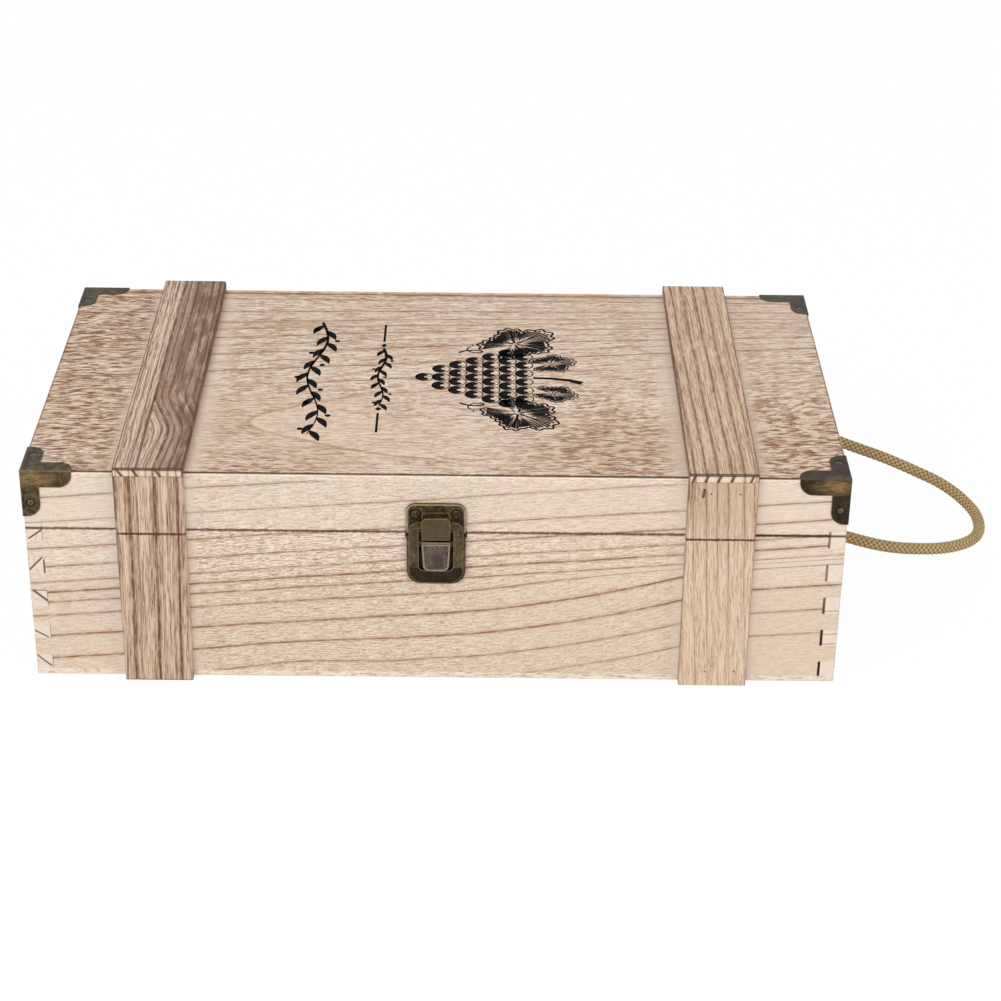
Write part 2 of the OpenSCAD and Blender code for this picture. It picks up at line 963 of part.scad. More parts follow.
// Lever that one lifts at its lower end: a face plate with a raised rim, two flanges and a barrel
module latch_lever() {
    color("#756A5C")
        difference() {
            union() {
                on_front()
                    translate([0, pivot_z, lever_out]) {
                        linear_extrude(lever_t)
                            bill(lever_w, lever_end_w, lever_reach, lever_r);
                        linear_extrude(lever_t + lip_h)
                            difference() {
                                bill(lever_w, lever_end_w, lever_reach, lever_r);
                                translate([0, -lip_w])
                                    bill(
                                        lever_w - 2 * lip_w, lever_end_w - 2 * lip_w,
                                        lever_reach - 2 * lip_w, lever_r - lip_w
                                    );
                            }
                    }
                across(0, lever_w)
                    translate([pivot_out, pivot_z])
                        circle(barrel_r);
                for (side = [-1, 1])
                    across(side * (flange_w - flange_t) / 2, flange_t)
                        flange_outline();
            }
            across(0, lever_w + 2 * cut)
                translate([pivot_out, pivot_z])
                    circle(pivot_r + pin_play);
            across(0, lever_w + 2 * cut)
                translate([draw_out, draw_z])
                    circle(draw_r);
        }
}

// Pin that couples the frame to the lever
module draw_pin() {
    color("#8C7344")
        across(0, window_w + 2 * draw_ear_t)
            translate([draw_out, draw_z])
                circle(draw_r);
}

// Front view of the draw frame, drawn at its real heights: a closed loop round the lever. Its
// crossbar is parted behind the tongue, where the hook's neck stands.
module frame_outline() {
    mid_z = (frame_low_z + frame_top_z) / 2;
    difference() {
        union() {
            translate([0, mid_z])
                tab(frame_w, frame_top_z - mid_z, frame_r);
            translate([0, mid_z])
                mirror([0, 1])
                    tab(frame_w, mid_z - frame_low_z, frame_low_r);
        }
        translate([0, window_top_z])
            mirror([0, 1])
                tab(window_w, window_top_z - window_low_z, window_r);
        translate([-tongue_w / 2 - tongue_play, mid_z])
            square([tongue_w + 2 * tongue_play, frame_top_z - lug_h - mid_z]);
        translate([-lug_gap / 2, mid_z])
            square([lug_gap, frame_top_z - mid_z + cut]);
    }
}

// Side view of the sheet that the draw frame is cut from: its lower part bends back to the box
module frame_section() {
    low_z = frame_low_z - cut;
    low_out = frame_out - (frame_bend_z - low_z) * tan(frame_bend);
    polygon([
        [frame_out, frame_top_z + cut], [frame_out, frame_bend_z], [low_out, low_z],
        [low_out + frame_t, low_z], [frame_out + frame_t, frame_bend_z],
        [frame_out + frame_t, frame_top_z + cut]
    ]);
}

// Draw frame, with an ear behind each bar for the draw pin
module latch_frame() {
    color("#6E6140")
        difference() {
            union() {
                intersection() {
                    across(0, frame_w + 2 * cut)
                        frame_section();
                    on_front()
                        linear_extrude(frame_out + frame_t + cut)
                            frame_outline();
                }
                for (side = [-1, 1])
                    across(side * (window_w + draw_ear_t) / 2, draw_ear_t)
                        intersection() {
                            translate([draw_out, draw_z])
                                circle(draw_ear_r);
                            translate([0, draw_z - 2 * draw_ear_r])
                                square([frame_out + frame_t / 2, 4 * draw_ear_r]);
                        }
            }
            across(0, window_w + 2 * draw_ear_t + 0.2)
                translate([draw_out, draw_z])
                    circle(draw_r + pin_play);
        }
}

// ---------------------------------------------------------------- pieces

base_front_board();
base_back_board();
base_left_end();
base_right_end();
bottom_panel();
bottle_divider();
front_slat(-1, 0, seam_z);  // base_front_slat_left
front_slat(1, 0, seam_z);  // base_front_slat_right
rope_handle();
rope_knots();
latch_base_plate();
latch_base_screws();
latch_pivot_pin();
hinge_leaf(1, -1);  // base_hinge_leaf_left
hinge_leaf(-1, -1);  // base_hinge_leaf_right
hinge_screws(-1);  // base_hinge_screws
hinge_pin(-1);  // hinge_pin_left
hinge_pin(1);  // hinge_pin_right
lid_front_board();
lid_back_board();
lid_end(0);  // lid_left_end
lid_end(1);  // lid_right_end
lid_top_panel();
front_slat(-1, seam_z, box_h);  // lid_front_slat_left
front_slat(1, seam_z, box_h);  // lid_front_slat_right
top_slat(-1);  // lid_top_slat_left
top_slat(1);  // lid_top_slat_right
corner_guard(0, 0);  // corner_front_left
corner_guard(1, 0);  // corner_front_right
corner_guard(0, 1);  // corner_back_left
corner_guard(1, 1);  // corner_back_right
corner_nails();
catch_plate();
catch_screws();
hinge_leaf(1, 1);  // lid_hinge_leaf_left
hinge_leaf(-1, 1);  // lid_hinge_leaf_right
hinge_screws(1);  // lid_hinge_screws
latch_lever();
draw_pin();
latch_frame();
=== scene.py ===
"""Looks of the two-bottle wooden box: scorched and pale boards, aged bronze fittings, braided rope."""
import math

import bpy
from mathutils import Matrix, Vector


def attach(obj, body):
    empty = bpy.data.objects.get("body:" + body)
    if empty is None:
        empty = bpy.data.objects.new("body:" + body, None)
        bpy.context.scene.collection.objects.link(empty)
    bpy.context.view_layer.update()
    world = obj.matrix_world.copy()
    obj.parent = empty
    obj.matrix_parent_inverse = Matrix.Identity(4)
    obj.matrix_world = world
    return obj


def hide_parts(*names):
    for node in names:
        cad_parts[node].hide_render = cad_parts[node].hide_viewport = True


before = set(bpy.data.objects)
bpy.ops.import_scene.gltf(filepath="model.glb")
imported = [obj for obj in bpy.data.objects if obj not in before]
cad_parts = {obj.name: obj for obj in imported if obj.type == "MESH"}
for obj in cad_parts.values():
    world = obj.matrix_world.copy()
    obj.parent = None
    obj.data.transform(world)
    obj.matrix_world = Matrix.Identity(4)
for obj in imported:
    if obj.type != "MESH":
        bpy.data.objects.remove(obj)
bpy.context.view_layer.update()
scene = bpy.context.scene
MM = 0.001

# ------------------------------------------------------------------ camera


# The photograph's camera, worked out from the eight corners of the box in it
CAMERA_PLACE = (0.019986, -1.017973, 0.593798)
CAMERA_ELEVATION = 28.66
CAMERA_AZIMUTH = 0.45
CAMERA_ROLL = 0.82
CAMERA_LENS = 89.41


def add_camera():
    """The camera looks down on the box, almost square to its front."""
    elevation, azimuth, roll = (math.radians(a) for a in (CAMERA_ELEVATION, CAMERA_AZIMUTH, CAMERA_ROLL))
    ahead = Vector((math.sin(azimuth) * math.cos(elevation),
                    math.cos(azimuth) * math.cos(elevation), -math.sin(elevation)))
    right0 = Vector((math.cos(azimuth), -math.sin(azimuth), 0))
    up0 = right0.cross(ahead)
    right = math.cos(roll) * right0 + math.sin(roll) * up0
    up = -math.sin(roll) * right0 + math.cos(roll) * up0
    data = bpy.data.cameras.new("camera")
    data.sensor_fit = "HORIZONTAL"
    data.sensor_width = 36
    data.lens = CAMERA_LENS
    data.clip_end = 20
    cam = bpy.data.objects.new("camera", data)
    turn = Matrix((right, up, -ahead)).transposed().to_4x4()
    cam.matrix_world = Matrix.Translation(CAMERA_PLACE) @ turn
    scene.collection.objects.link(cam)
    scene.camera = cam


add_camera()

# ------------------------------------------------------------------ meshes


def link_mesh(name, verts, faces, smooth=False):
    mesh = bpy.data.meshes.new(name)
    mesh.from_pydata([tuple(v) for v in verts], [], faces)
    mesh.validate()
    if smooth:
        mesh.polygons.foreach_set("use_smooth", [True] * len(mesh.polygons))
    obj = bpy.data.objects.new(name, mesh)
    scene.collection.objects.link(obj)
    return obj


def spline(points, step):
    """Smooth curve through the points, sampled about every step."""
    out = []
    pts = [2 * points[0] - points[1]] + points + [2 * points[-1] - points[-2]]
    for a, b, c, d in zip(pts, pts[1:], pts[2:], pts[3:]):
        n = max(2, round((c - b).length / step))
        for i in range(n):
            t = i / n
            out.append(0.5 * (2 * b + (c - a) * t + (2 * a - 5 * b + 4 * c - d) * t * t
                              + (3 * b - a - 3 * c + d) * t ** 3))
    out.append(points[-1])
    return out


def resample(path, step):
    """The same line with its points a constant step apart."""
    total = sum((b - a).length for a, b in zip(path, path[1:]))
    count = round(total / step)
    out, i, walked = [path[0]], 0, 0.0
    for k in range(1, count):
        want = total * k / count
        while walked + (path[i + 1] - path[i]).length < want:
            walked += (path[i + 1] - path[i]).length
            i += 1
        leg = path[i + 1] - path[i]
        out.append(path[i] + leg * ((want - walked) / leg.length))
    out.append(path[-1])
    return out


def frames(path):
    """Twist-free (out, over) directions along a path."""
    ahead = [(path[min(i + 1, len(path) - 1)] - path[max(i - 1, 0)]).normalized()
             for i in range(len(path))]
    out = ahead[0].orthogonal().normalized()
    result = []
    for d in ahead:
        out = (out - out.dot(d) * d).normalized()
        result.append((out, d.cross(out)))
    return result


STRANDS = 12
STRAND_SIDES = 6
STRAND_HALF_THICK = 0.00044
STRAND_WAVE = 0.00026
CORE_SIDES = 12


def tube_faces(first, rings, sides):
    """Faces of a closed tube whose rings of points start at number first."""
    faces = []
    for i in range(rings - 1):
        for k in range(sides):
            a, b = first + i * sides + k, first + i * sides + (k + 1) % sides
            faces.append((a, b, b + sides, a + sides))
    for ring, order in ((0, -1), (rings - 1, 1)):
        faces.append([first + ring * sides + k for k in range(sides)][::order])
    return faces


def braid(name, paths, radius, lead):
    """Braid of flat strands over a core, half of the strands each way, along each path.
    The attribute "crown" is 1 on top of a strand where it lies over and 0 in the gaps: painted light and
    shade for the rope's material."""
    verts, faces, crown_light = [], [], []
    mid = radius - STRAND_HALF_THICK - STRAND_WAVE
    pitch = 2 * math.pi * mid / lead
    half_width = 0.48 * 2 * math.pi * mid / (STRANDS // 2) * math.cos(math.atan(pitch))
    for path in paths:
        around = frames(path)
        step = [(path[i] - path[max(i - 1, 0)]).length for i in range(len(path))]
        for strand in range(STRANDS):
            way = 1 if strand % 2 else -1
            start = 2 * math.pi * (strand // 2) / (STRANDS // 2)
            walked = 0.0
            first = len(verts)
            for i, p in enumerate(path):
                walked += step[i]
                turn = start + way * 2 * math.pi * walked / lead
                out, over = around[i]
                radial = math.cos(turn) * out + math.sin(turn) * over
                tangent = way * (-math.sin(turn) * out + math.cos(turn) * over)
                ahead = out.cross(over)
                side = radial.cross((ahead + tangent * pitch).normalized())
                lift = way * math.cos(math.pi * walked * STRANDS / lead)
                centre = p + radial * (mid + STRAND_WAVE * lift)
                for k in range(STRAND_SIDES):
                    a = (2 * k + 1) * math.pi / STRAND_SIDES
                    verts.append(centre + side * half_width * math.cos(a)
                                 + radial * STRAND_HALF_THICK * math.sin(a))
                    # Painted light and shade: bright on the outer side of a strand where it lies over, dark
                    # in the gaps.
                    crown_light.append(max(0.0, 0.55 + 0.45 * lift) * (0.25 + 0.75 * max(0.0, math.sin(a))))
            faces += tube_faces(first, len(path), STRAND_SIDES)
        first = len(verts)
        core = path[::3] + [path[-1]]
        for p, (out, over) in zip(core, around[::3] + [around[-1]]):
            for k in range(CORE_SIDES):
                a = 2 * math.pi * k / CORE_SIDES
                verts.append(p + (mid - 0.0001) * (math.cos(a) * out + math.sin(a) * over))
                crown_light.append(0.0)
        faces += tube_faces(first, len(core), CORE_SIDES)
    obj = link_mesh(name, verts, faces, smooth=True)
    attribute = obj.data.attributes.new("crown_light", "FLOAT", "POINT")
    attribute.data.foreach_set("value", crown_light)
    return obj


# The rope's route through both holes of the right end, as in part.scad
ROUTE = [
    (168, 50, 49), (176, 50, 49), (184, 50, 47.5), (193, 49, 44.5), (202, 47, 42), (211, 45, 39.5),
    (220, 42, 37), (229, 38, 34.5), (237, 33.5, 32.5), (244, 27, 30.5), (249, 19, 29), (252, 10, 28.3),
    (252.5, 1, 28), (251, -8, 28.5), (247.5, -16.5, 29.5), (242, -24, 31), (235, -31, 33),
    (226.5, -37, 35.2), (217, -42, 37.8), (207.5, -45.8, 40.3), (198, -48.2, 43), (189.5, -49.5, 45.8),
    (182, -50, 48.2), (176, -50, 49), (168, -50, 49),
]
route = spline([Vector(p) * MM for p in ROUTE], 0.0003)
rope_path = resample(route, 0.00033)
rope = braid("rope_braid", [rope_path], radius=0.00275, lead=0.0155)
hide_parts("rope_handle")
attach(rope, "base")


def knot_path(y, way):
    """Stopper knot inside the right end: the rope winds round itself twice, then ends in a tail."""
    turns, count, hole = 2.1, 24, 49
    points = [(168, y, hole), (167, y, hole)]
    for i in range(count + 1):
        f = i / count
        angle = way * (0.6 + 2 * math.pi * turns * f)
        reach = 3.1 * min(1, 6 * f + 0.35, 6 * (1 - f) + 0.35)
        points.append((165.4 - 4.3 * f, y + reach * math.cos(angle), hole + reach * math.sin(angle)))
    points += [(159, y + 0.3, 48.8), (156.5, y, 48.7), (152.6, y + way * 0.4, 48.4)]
    return resample(spline([Vector(p) * MM for p in points], 0.0003), 0.0004)


knots = braid("rope_knot_braids", [knot_path(50, 1), knot_path(-50, -1)], radius=0.0024, lead=0.013)
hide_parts("rope_knots")
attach(knots, "base")
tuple(rope_path[0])

# ------------------------------------------------------------------ node trees


def linear(screen):
    """Linear colour from three screen values of 0 to 255."""
    parts = [c / 255 for c in screen]
    return [c / 12.92 if c <= 0.04045 else ((c + 0.055) / 1.055) ** 2.4 for c in parts] + [1]


class Tree:
    """Short names for building a material. Lengths are millimetres of the object's own frame."""

    def __init__(self, name):
        self.mat = bpy.data.materials.new(name)
        self.mat.use_nodes = True
        self.tree = self.mat.node_tree
        self.tree.nodes.clear()
        self.bsdf = self.new("BsdfPrincipled")
        self.tree.links.new(self.bsdf.outputs[0], self.new("OutputMaterial").inputs[0])
        coord = self.new("TexCoord")
        self.normal = coord.outputs["Normal"]
        self.mm = self.vec("SCALE", coord.outputs["Object"], 1000.0)

    def new(self, kind):
        return self.tree.nodes.new("ShaderNode" + kind)

    def put(self, socket, value):
        if isinstance(value, bpy.types.NodeSocket):
            self.tree.links.new(value, socket)
        else:
            socket.default_value = value

    def vec(self, op, a, b=None):
        n = self.new("VectorMath")
        n.operation = op
        self.put(n.inputs[0], a)
        if b is not None:
            self.put(n.inputs["Scale" if op == "SCALE" else 1], b)
        return n.outputs["Value" if op in ("DOT_PRODUCT", "LENGTH", "DISTANCE") else "Vector"]

    def m(self, op, *values):
        n = self.new("Math")
        n.operation = op
        for socket, value in zip(n.inputs, values):
            self.put(socket, value)
        return n.outputs[0]

    def chain(self, op, first, *others):
        for value in others:
            first = self.m(op, first, value)
        return first

    def add(self, *values):
        return self.chain("ADD", *values)

    def mul(self, *values):
        return self.chain("MULTIPLY", *values)

    def max(self, *values):
        return self.chain("MAXIMUM", *values)

    def min(self, *values):
        return self.chain("MINIMUM", *values)

    def sub(self, a, b):
        return self.m("SUBTRACT", a, b)

    def abs(self, a):
        return self.m("ABSOLUTE", a)

    def hypot(self, a, b):
        return self.m("SQRT", self.add(self.mul(a, a), self.mul(b, b)))

    def xyz(self, v):
        n = self.new("SeparateXYZ")
        self.put(n.inputs[0], v)
        return n.outputs[0], n.outputs[1], n.outputs[2]

    def facing(self, axis):
        """1 on a face square to the axis, 0 on a face along it."""
        return self.abs(self.xyz(self.normal)["xyz".index(axis)])

    def join(self, x, y, z):
        n = self.new("CombineXYZ")
        for socket, value in zip(n.inputs, (x, y, z)):
            self.put(socket, value)
        return n.outputs[0]

    def noise(self, v, scale, detail=2.0, rough=0.5, warp=0.0, seed=0.0):
        """Noise about 0.5; scale is one number or one for each axis."""
        if not isinstance(scale, (int, float)):
            v = self.vec("MULTIPLY", v, scale)
            scale = 1.0
        if seed:
            v = self.vec("ADD", v, (seed, seed * 1.7, seed * 0.6))
        n = self.new("TexNoise")
        self.put(n.inputs["Vector"], v)
        for key, value in (("Scale", scale), ("Detail", detail), ("Roughness", rough), ("Distortion", warp)):
            n.inputs[key].default_value = value
        return n.outputs[0]

    def sway(self, v, scale, detail=2.0, rough=0.5, seed=0.0):
        """The same noise about 0."""
        return self.sub(self.noise(v, scale, detail, rough, seed=seed), 0.5)

    def random(self, value):
        n = self.new("TexWhiteNoise")
        n.noise_dimensions = "1D"
        self.put(n.inputs["W"], value)
        return n.outputs["Value"]

    def step(self, value, low, high, out_low=0.0, out_high=1.0):
        """Smooth change from out_low to out_high as value goes from low to high."""
        if low > high:
            low, high, out_low, out_high = high, low, out_high, out_low
        n = self.new("MapRange")
        n.interpolation_type = "SMOOTHSTEP"
        for key, v in (("Value", value), ("From Min", low), ("From Max", high),
                       ("To Min", out_low), ("To Max", out_high)):
            self.put(n.inputs[key], v)
        return n.outputs[0]

    def mix(self, share, a, b):
        """Colour a where share is 0 and b where it is 1; each is a socket or screen values."""
        n = self.new("Mix")
        n.data_type = "RGBA"
        self.put(n.inputs[0], share)
        for socket, colour in ((n.inputs[6], a), (n.inputs[7], b)):
            self.put(socket, linear(colour) if isinstance(colour, tuple) else colour)
        return n.outputs[2]

    def bump(self, height, distance, strength):
        n = self.new("Bump")
        n.inputs["Strength"].default_value = strength
        n.inputs["Distance"].default_value = distance
        self.put(n.inputs["Height"], height)
        self.put(self.bsdf.inputs["Normal"], n.outputs[0])

    def off(self, coord, centre):
        return self.abs(self.sub(coord, centre))

    def band(self, coord, centre, width):
        """1 at centre, falling to 0 at width from it."""
        return self.step(self.off(coord, centre), 0.0, width, 1.0, 0.0)

    def stroke(self, a, b, start, end, width):
        """1 on the line from start to end in the plane of a and b."""
        (a0, b0), (a1, b1) = start, end
        da, db = a1 - a0, b1 - b0
        along = self.add(self.mul(self.sub(a, a0), da), self.mul(self.sub(b, b0), db))
        f = self.min(self.max(self.m("DIVIDE", along, da * da + db * db), 0.0), 1.0)
        away = self.hypot(self.sub(a, self.m("MULTIPLY_ADD", f, da, a0)),
                          self.sub(b, self.m("MULTIPLY_ADD", f, db, b0)))
        return self.step(away, width * 0.4, width, 1.0, 0.0)

    def finish(self, colour, rough, specular, metal=0.0):
        self.put(self.bsdf.inputs["Base Color"], colour)
        self.put(self.bsdf.inputs["Roughness"], rough)
        self.bsdf.inputs["Metallic"].default_value = metal
        self.bsdf.inputs["Specular IOR Level"].default_value = specular
        return self.mat


def ring_field(t, u, v, w, seed, pith, taper, spacing, warp):
    """Growth lines as the rings of a tapering trunk round a pith line: 1 on a line, 0 between."""
    drift = t.mul(t.sway(t.join(u, v, w), (0.02, 0.05, 0.05), 3, seed=seed + 7), 2 * warp)
    radius = t.hypot(t.add(t.sub(v, pith[0]), drift), t.add(t.sub(w, pith[1]), drift))
    rings = t.m("DIVIDE", t.sub(radius, t.mul(u, taper)), spacing)
    rings = t.add(rings, t.sway(rings, 0.6, 1, seed=seed + 3))
    part = t.m("FRACT", rings)
    luck = t.random(t.add(t.m("FLOOR", rings), seed * 3.1))
    line = t.mul(t.step(part, 0.86, 0.975), t.step(part, 0.975, 1.0, 1.0, 0.0))
    return t.mul(line, t.add(0.3, t.mul(luck, 0.7)))


def row_field(t, h, rows):
    """Growth lines at set places of h: each row is (place, half width, strength)."""
    parts = []
    for place, width, strength in rows:
        away = t.off(h, place)
        parts += [t.step(away, width * 0.35, width, strength, 0.0),
                  t.step(away, 0.0, width * 3.2, strength * 0.33, 0.0)]
    return t.max(*parts)


def wood(name, axes, seed, base=(231, 213, 197), pale=(242, 228, 212), dark=(200, 172, 149),
         line=(160, 114, 82), end=(226, 210, 193), rows=None, flow=None, fade=None, pith=None, taper=0.05,
         spacing=9.0, warp=3.0, lines=0.9, fibre=0.85, dashes=0.6, cell=(2.4, 0.55), tone=0.25,
         figure=None, burnt=(), shade=None, after=None):
    """A board. axes names its grain, width and thickness directions. Its growth lines are rows of
    flow, a height that bends across the grain, or else rings round the pith; the fibres follow the
    flow too. cell is the length and thickness of a fibre, figure the (strength, colour, mask) of a
    scorched figure, and burnt lists (axis, place, width, strength)."""
    t = Tree(name)
    place = dict(zip("xyz", t.xyz(t.mm)))
    x, y, z = place["x"], place["y"], place["z"]
    u, v, w = (place[axis] for axis in axes)
    h = v
    if flow:
        h = t.add(flow(t, x, y, z), t.mul(t.sway(t.join(u, v, w), (0.02, 0.03, 0.03), 2, seed=seed + 8), 1.6))
    q = t.join(u, h, w)
    if rows:
        ragged = t.add(h, t.mul(t.sway(q, (0.6, 1.8, 1.8), 2, 0.6, seed=seed + 12), 0.45))
        ring = row_field(t, ragged, rows)
    else:
        ring = ring_field(t, u, v, w, seed, pith, taper, spacing, warp)
    gaps = t.noise(q, (0.16, 0.5, 0.5), 3, 0.6, seed=seed + 11)
    ring = t.mul(ring, t.step(gaps, 0.3, 0.6, 0.5, 1.0))
    if fade:
        ring = t.mul(ring, fade(t, z))
    long, thick = cell
    broad = t.noise(q, (0.008, 0.03, 0.03), 2, seed=seed)
    thin = t.noise(q, (0.28 / long, 0.9 / thick, 0.9 / thick), 3, 0.6, 0.15, seed=seed + 1)
    short = t.noise(q, (1 / long, 1 / thick, 1 / thick), 3, 0.62, 0.25, seed=seed + 2)
    colour = base
    for field, low, high, most, paint_colour in (
            (broad, 0.3, 0.7, tone, dark), (thin, 0.54, 0.38, fibre, pale), (thin, 0.5, 0.64, fibre, dark),
            (short, 0.5, 0.36, fibre * 0.8, pale), (short, 0.52, 0.68, dashes, line)):
        colour = t.mix(t.step(field, low, high, 0.0, most), colour, paint_colour)
    if shade:
        colour = shade(t, colour, x, y, z, h)
    if figure:
        strength, scorched, mask = figure
        bend = t.mul(t.sway(q, (0.08, 0.16, 0.16), 2, seed=seed + 5), 4)
        streaks = t.noise(t.vec("ADD", q, t.join(0.0, bend, 0.0)), (0.17, 0.95, 0.95), 4, 0.62, 0.3,
                          seed=seed + 6)
        there = mask(t, x, y, z)
        colour = t.mix(t.mul(t.step(streaks, 0.49, 0.41, 0.0, 0.7 * strength), there), colour, pale)
        colour = t.mix(t.mul(t.step(streaks, 0.49, 0.57, 0.0, strength), there), colour, scorched)
    colour = t.mix(t.mul(ring, lines), colour, line)
    pores = t.step(t.noise(q, 1.6, 2, seed=seed + 4), 0.56, 0.7, 0.0, 0.3)
    cut = t.mix(t.mul(ring, 0.8), t.mix(pores, end, line), line)
    colour = t.mix(t.step(t.facing(axes[0]), 0.75, 0.9), colour, cut)
    if burnt:
        soot = t.sub(t.noise(t.mm, 0.7, 3, 0.6, seed=seed + 9), 0.5)
    for axis, at, width, strength in burnt:
        spread = t.add(t.off(place[axis], at), t.mul(soot, width * 1.4))
        near = t.step(spread, width * 0.25, width, strength, 0.0)
        # The faces of a saw cut (z) stay clean, and those beside a scorched edge about half as dark
        square = t.m("MULTIPLY_ADD", t.step(t.facing(axis), 0.8, 0.95), -1.0 if axis == "z" else -0.45, 1.0)
        colour = t.mix(t.mul(near, square), colour, (88, 50, 32))
    if after:
        colour = after(t, colour, x, y, z)
    t.bump(t.sub(thin, t.mul(ring, 0.6)), 0.00008, 0.6)
    return t.finish(colour, t.step(thin, 0.3, 0.7, 0.62, 0.78), 0.22)


def edge_wear_and_highlight(t):
    """How much a point lies on an edge, where the bronze is rubbed and a highlight is painted."""
    bevel = t.new("Bevel")
    bevel.samples = 6
    bevel.inputs["Radius"].default_value = 0.0006
    flat = t.new("NewGeometry").outputs["Normal"]
    return t.step(t.sub(1.0, t.vec("DOT_PRODUCT", bevel.outputs[0], flat)), 0.01, 0.16)


def bronze(name, base, high, gold, wear_and_highlight, tint, seed, speckle):
    """Aged bronze: dark specks and streaks, edges brighter where hands rub and where a highlight is painted;
    tints darken some hollows with painted shade.
    """
    t = Tree(name)
    patch = t.noise(t.mm, 0.3, 4, 0.62, 0.4, seed=seed)
    fine = t.noise(t.mm, 1.5, 4, 0.7, seed=seed + 2)
    brushed = t.noise(t.mm, (0.5, 3.0, 3.0), 3, 0.6, seed=seed + 4)
    colour = t.mix(t.step(patch, 0.35, 0.68), base, high)
    colour = t.mix(t.step(fine, 0.52, 0.68, 0.0, speckle), colour, gold)
    colour = t.mix(t.step(fine, 0.48, 0.36, 0.0, speckle * 1.6), colour, (24, 20, 15))
    colour = t.mix(t.step(brushed, 0.5, 0.3, 0.0, 0.3), colour, (30, 27, 22))
    if tint:
        colour = tint(t, colour, *t.xyz(t.mm))
    # Edges brighter in gold: rubbed bronze, and a painted highlight.
    colour = t.mix(t.mul(edge_wear_and_highlight(t), t.step(patch, 0.3, 0.6, 0.55, 1.0), wear_and_highlight), colour, gold)
    t.bump(t.add(patch, t.mul(fine, 0.3)), 0.00006, 0.5)
    return t.finish(colour, t.step(fine, 0.3, 0.7, 0.37, 0.57), 0.25, metal=0.6)


def rope_material():
    """Straw-coloured yarn, with painted shade making it dark in the gaps between the strands and browner on
    the rope's underside.
    """
    t = Tree("rope_yarn")
    crown_light = t.new("Attribute")
    crown_light.attribute_name = "crown_light"
    lit = t.add(crown_light.outputs["Fac"], t.mul(t.sway(t.mm, 2.6, 3, 0.6), 0.5))
    # Painted light and shade from the crown value: light on the strands, dark in the gaps.
    colour = t.mix(t.step(lit, 0.1, 0.85), (96, 72, 40), (202, 176, 132))
    colour = t.mix(t.step(t.noise(t.mm, 0.12, 2), 0.35, 0.65, 0.0, 0.35), colour, (164, 136, 92))
    # Painted shade: browner where the rope faces down.
    colour = t.mix(t.step(t.xyz(t.normal)[2], 0.1, -0.8, 0.0, 0.4), colour, (132, 98, 60))
    t.bump(t.noise(t.mm, 5.0, 2), 0.0001, 0.5)
    return t.finish(colour, 0.8, 0.15)


def ink():
    """Black stamp ink that breaks up over the grain."""
    t = Tree("stamp_ink")
    gaps = t.noise(t.mm, (0.3, 1.9, 1.9), 3, 0.6, seed=4)
    colour = t.mix(t.step(gaps, 0.6, 0.72, 0.0, 0.4), (13, 12, 12), (112, 90, 74))
    return t.finish(colour, 0.85, 0.08)


# ------------------------------------------------------------------ materials on the CAD nodes


def paint(material, *nodes):
    for n in nodes:
        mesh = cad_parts[n].data
        mesh.materials.clear()
        mesh.materials.append(material)


# Places on the box in millimetres: its saw cut, the front board's face, the lid's top face, the end
# boards' inner faces, their fingers' rise, the slats' middle and half width, and the latch's outline
SEAM = 73.6
FRONT = -95.0
LID_TOP = 101.0
END_INSIDE = 168.0
FINGER_START = 2.35
FINGER_PITCH = 16.3
SLAT_X = 121.0
SLAT_HALF = 14.75
LATCH_TOP = 87.4
LATCH_LOW = 49.0
LATCH_HALF = 12.6
PIVOT_Z = 69.5
CATCH_SCREW = (8.7, 82.6)

SCORCHED_SEAM = [("z", SEAM, 1.0, 0.85)]
SLAT_SEAM = [("z", SEAM, 0.8, 0.95)]


def on_top(t, z, most=1.0):
    """most on the lid's upper side, 0 on its inner side."""
    return t.step(z, LID_TOP - 2.0, LID_TOP - 1.0, 0.0, most)


def front_flow(t, x, y, z):
    """Lines rise to the right; the low ones sag at the far right and swell left of the middle."""
    h = t.sub(z, t.mul(x, 0.08))
    right = t.min(t.max(x, 0.0), 120.0)
    sag = t.mul(right, right, 0.00095, t.step(h, 45.0, 51.0, 1.0, 0.0))
    swell = t.mul(t.band(x, -62.0, 45.0), 2.8, t.step(h, 14.0, 32.0, 1.0, 0.0))
    return t.sub(t.sub(h, sag), swell)


def front_shade(t, colour, x, y, z, h):
    """Deeper tone low down; pale on the lid, at both ends, right of the middle and beside the slats."""
    colour = t.mix(t.step(z, 70.0, 78.0, 0.0, 0.4), colour, (224, 206, 188))
    colour = t.mix(t.step(t.abs(x), 136.0, 140.0, 0.0, 0.45), colour, (231, 214, 197))
    colour = t.mix(t.step(x, -20.0, 50.0, 0.0, 0.3), colour, (229, 208, 186))
    colour = t.mix(t.step(z, 62.0, 40.0, 0.0, 0.3), colour, (203, 178, 152))
    return t.mix(t.step(t.off(t.abs(x), SLAT_X), SLAT_HALF, 20.5, 0.7, 0.0), colour, (240, 226, 210))


def dark_saw_line(t, colour, z, amount):
    """Near black along the saw line."""
    return t.mix(t.mul(t.band(z, SEAM, 1.0), amount), colour, (66, 34, 20))


def joint_gap_shade(t, colour, x, z):
    """Painted shade in the gaps beside the right fingers, darkest low down."""
    fingers = t.step(t.m("FRACT", t.m("DIVIDE", t.sub(z, FINGER_START), FINGER_PITCH)), 0.51, 0.49)
    gap = t.mul(t.step(t.off(x, END_INSIDE), 0.45, 0.75, 1.0, 0.0), fingers, t.step(z, 76.0, 75.6))
    return t.mix(t.mul(gap, t.step(z, 60.0, 20.0, 0.6, 1.0)), colour, (66, 32, 18))


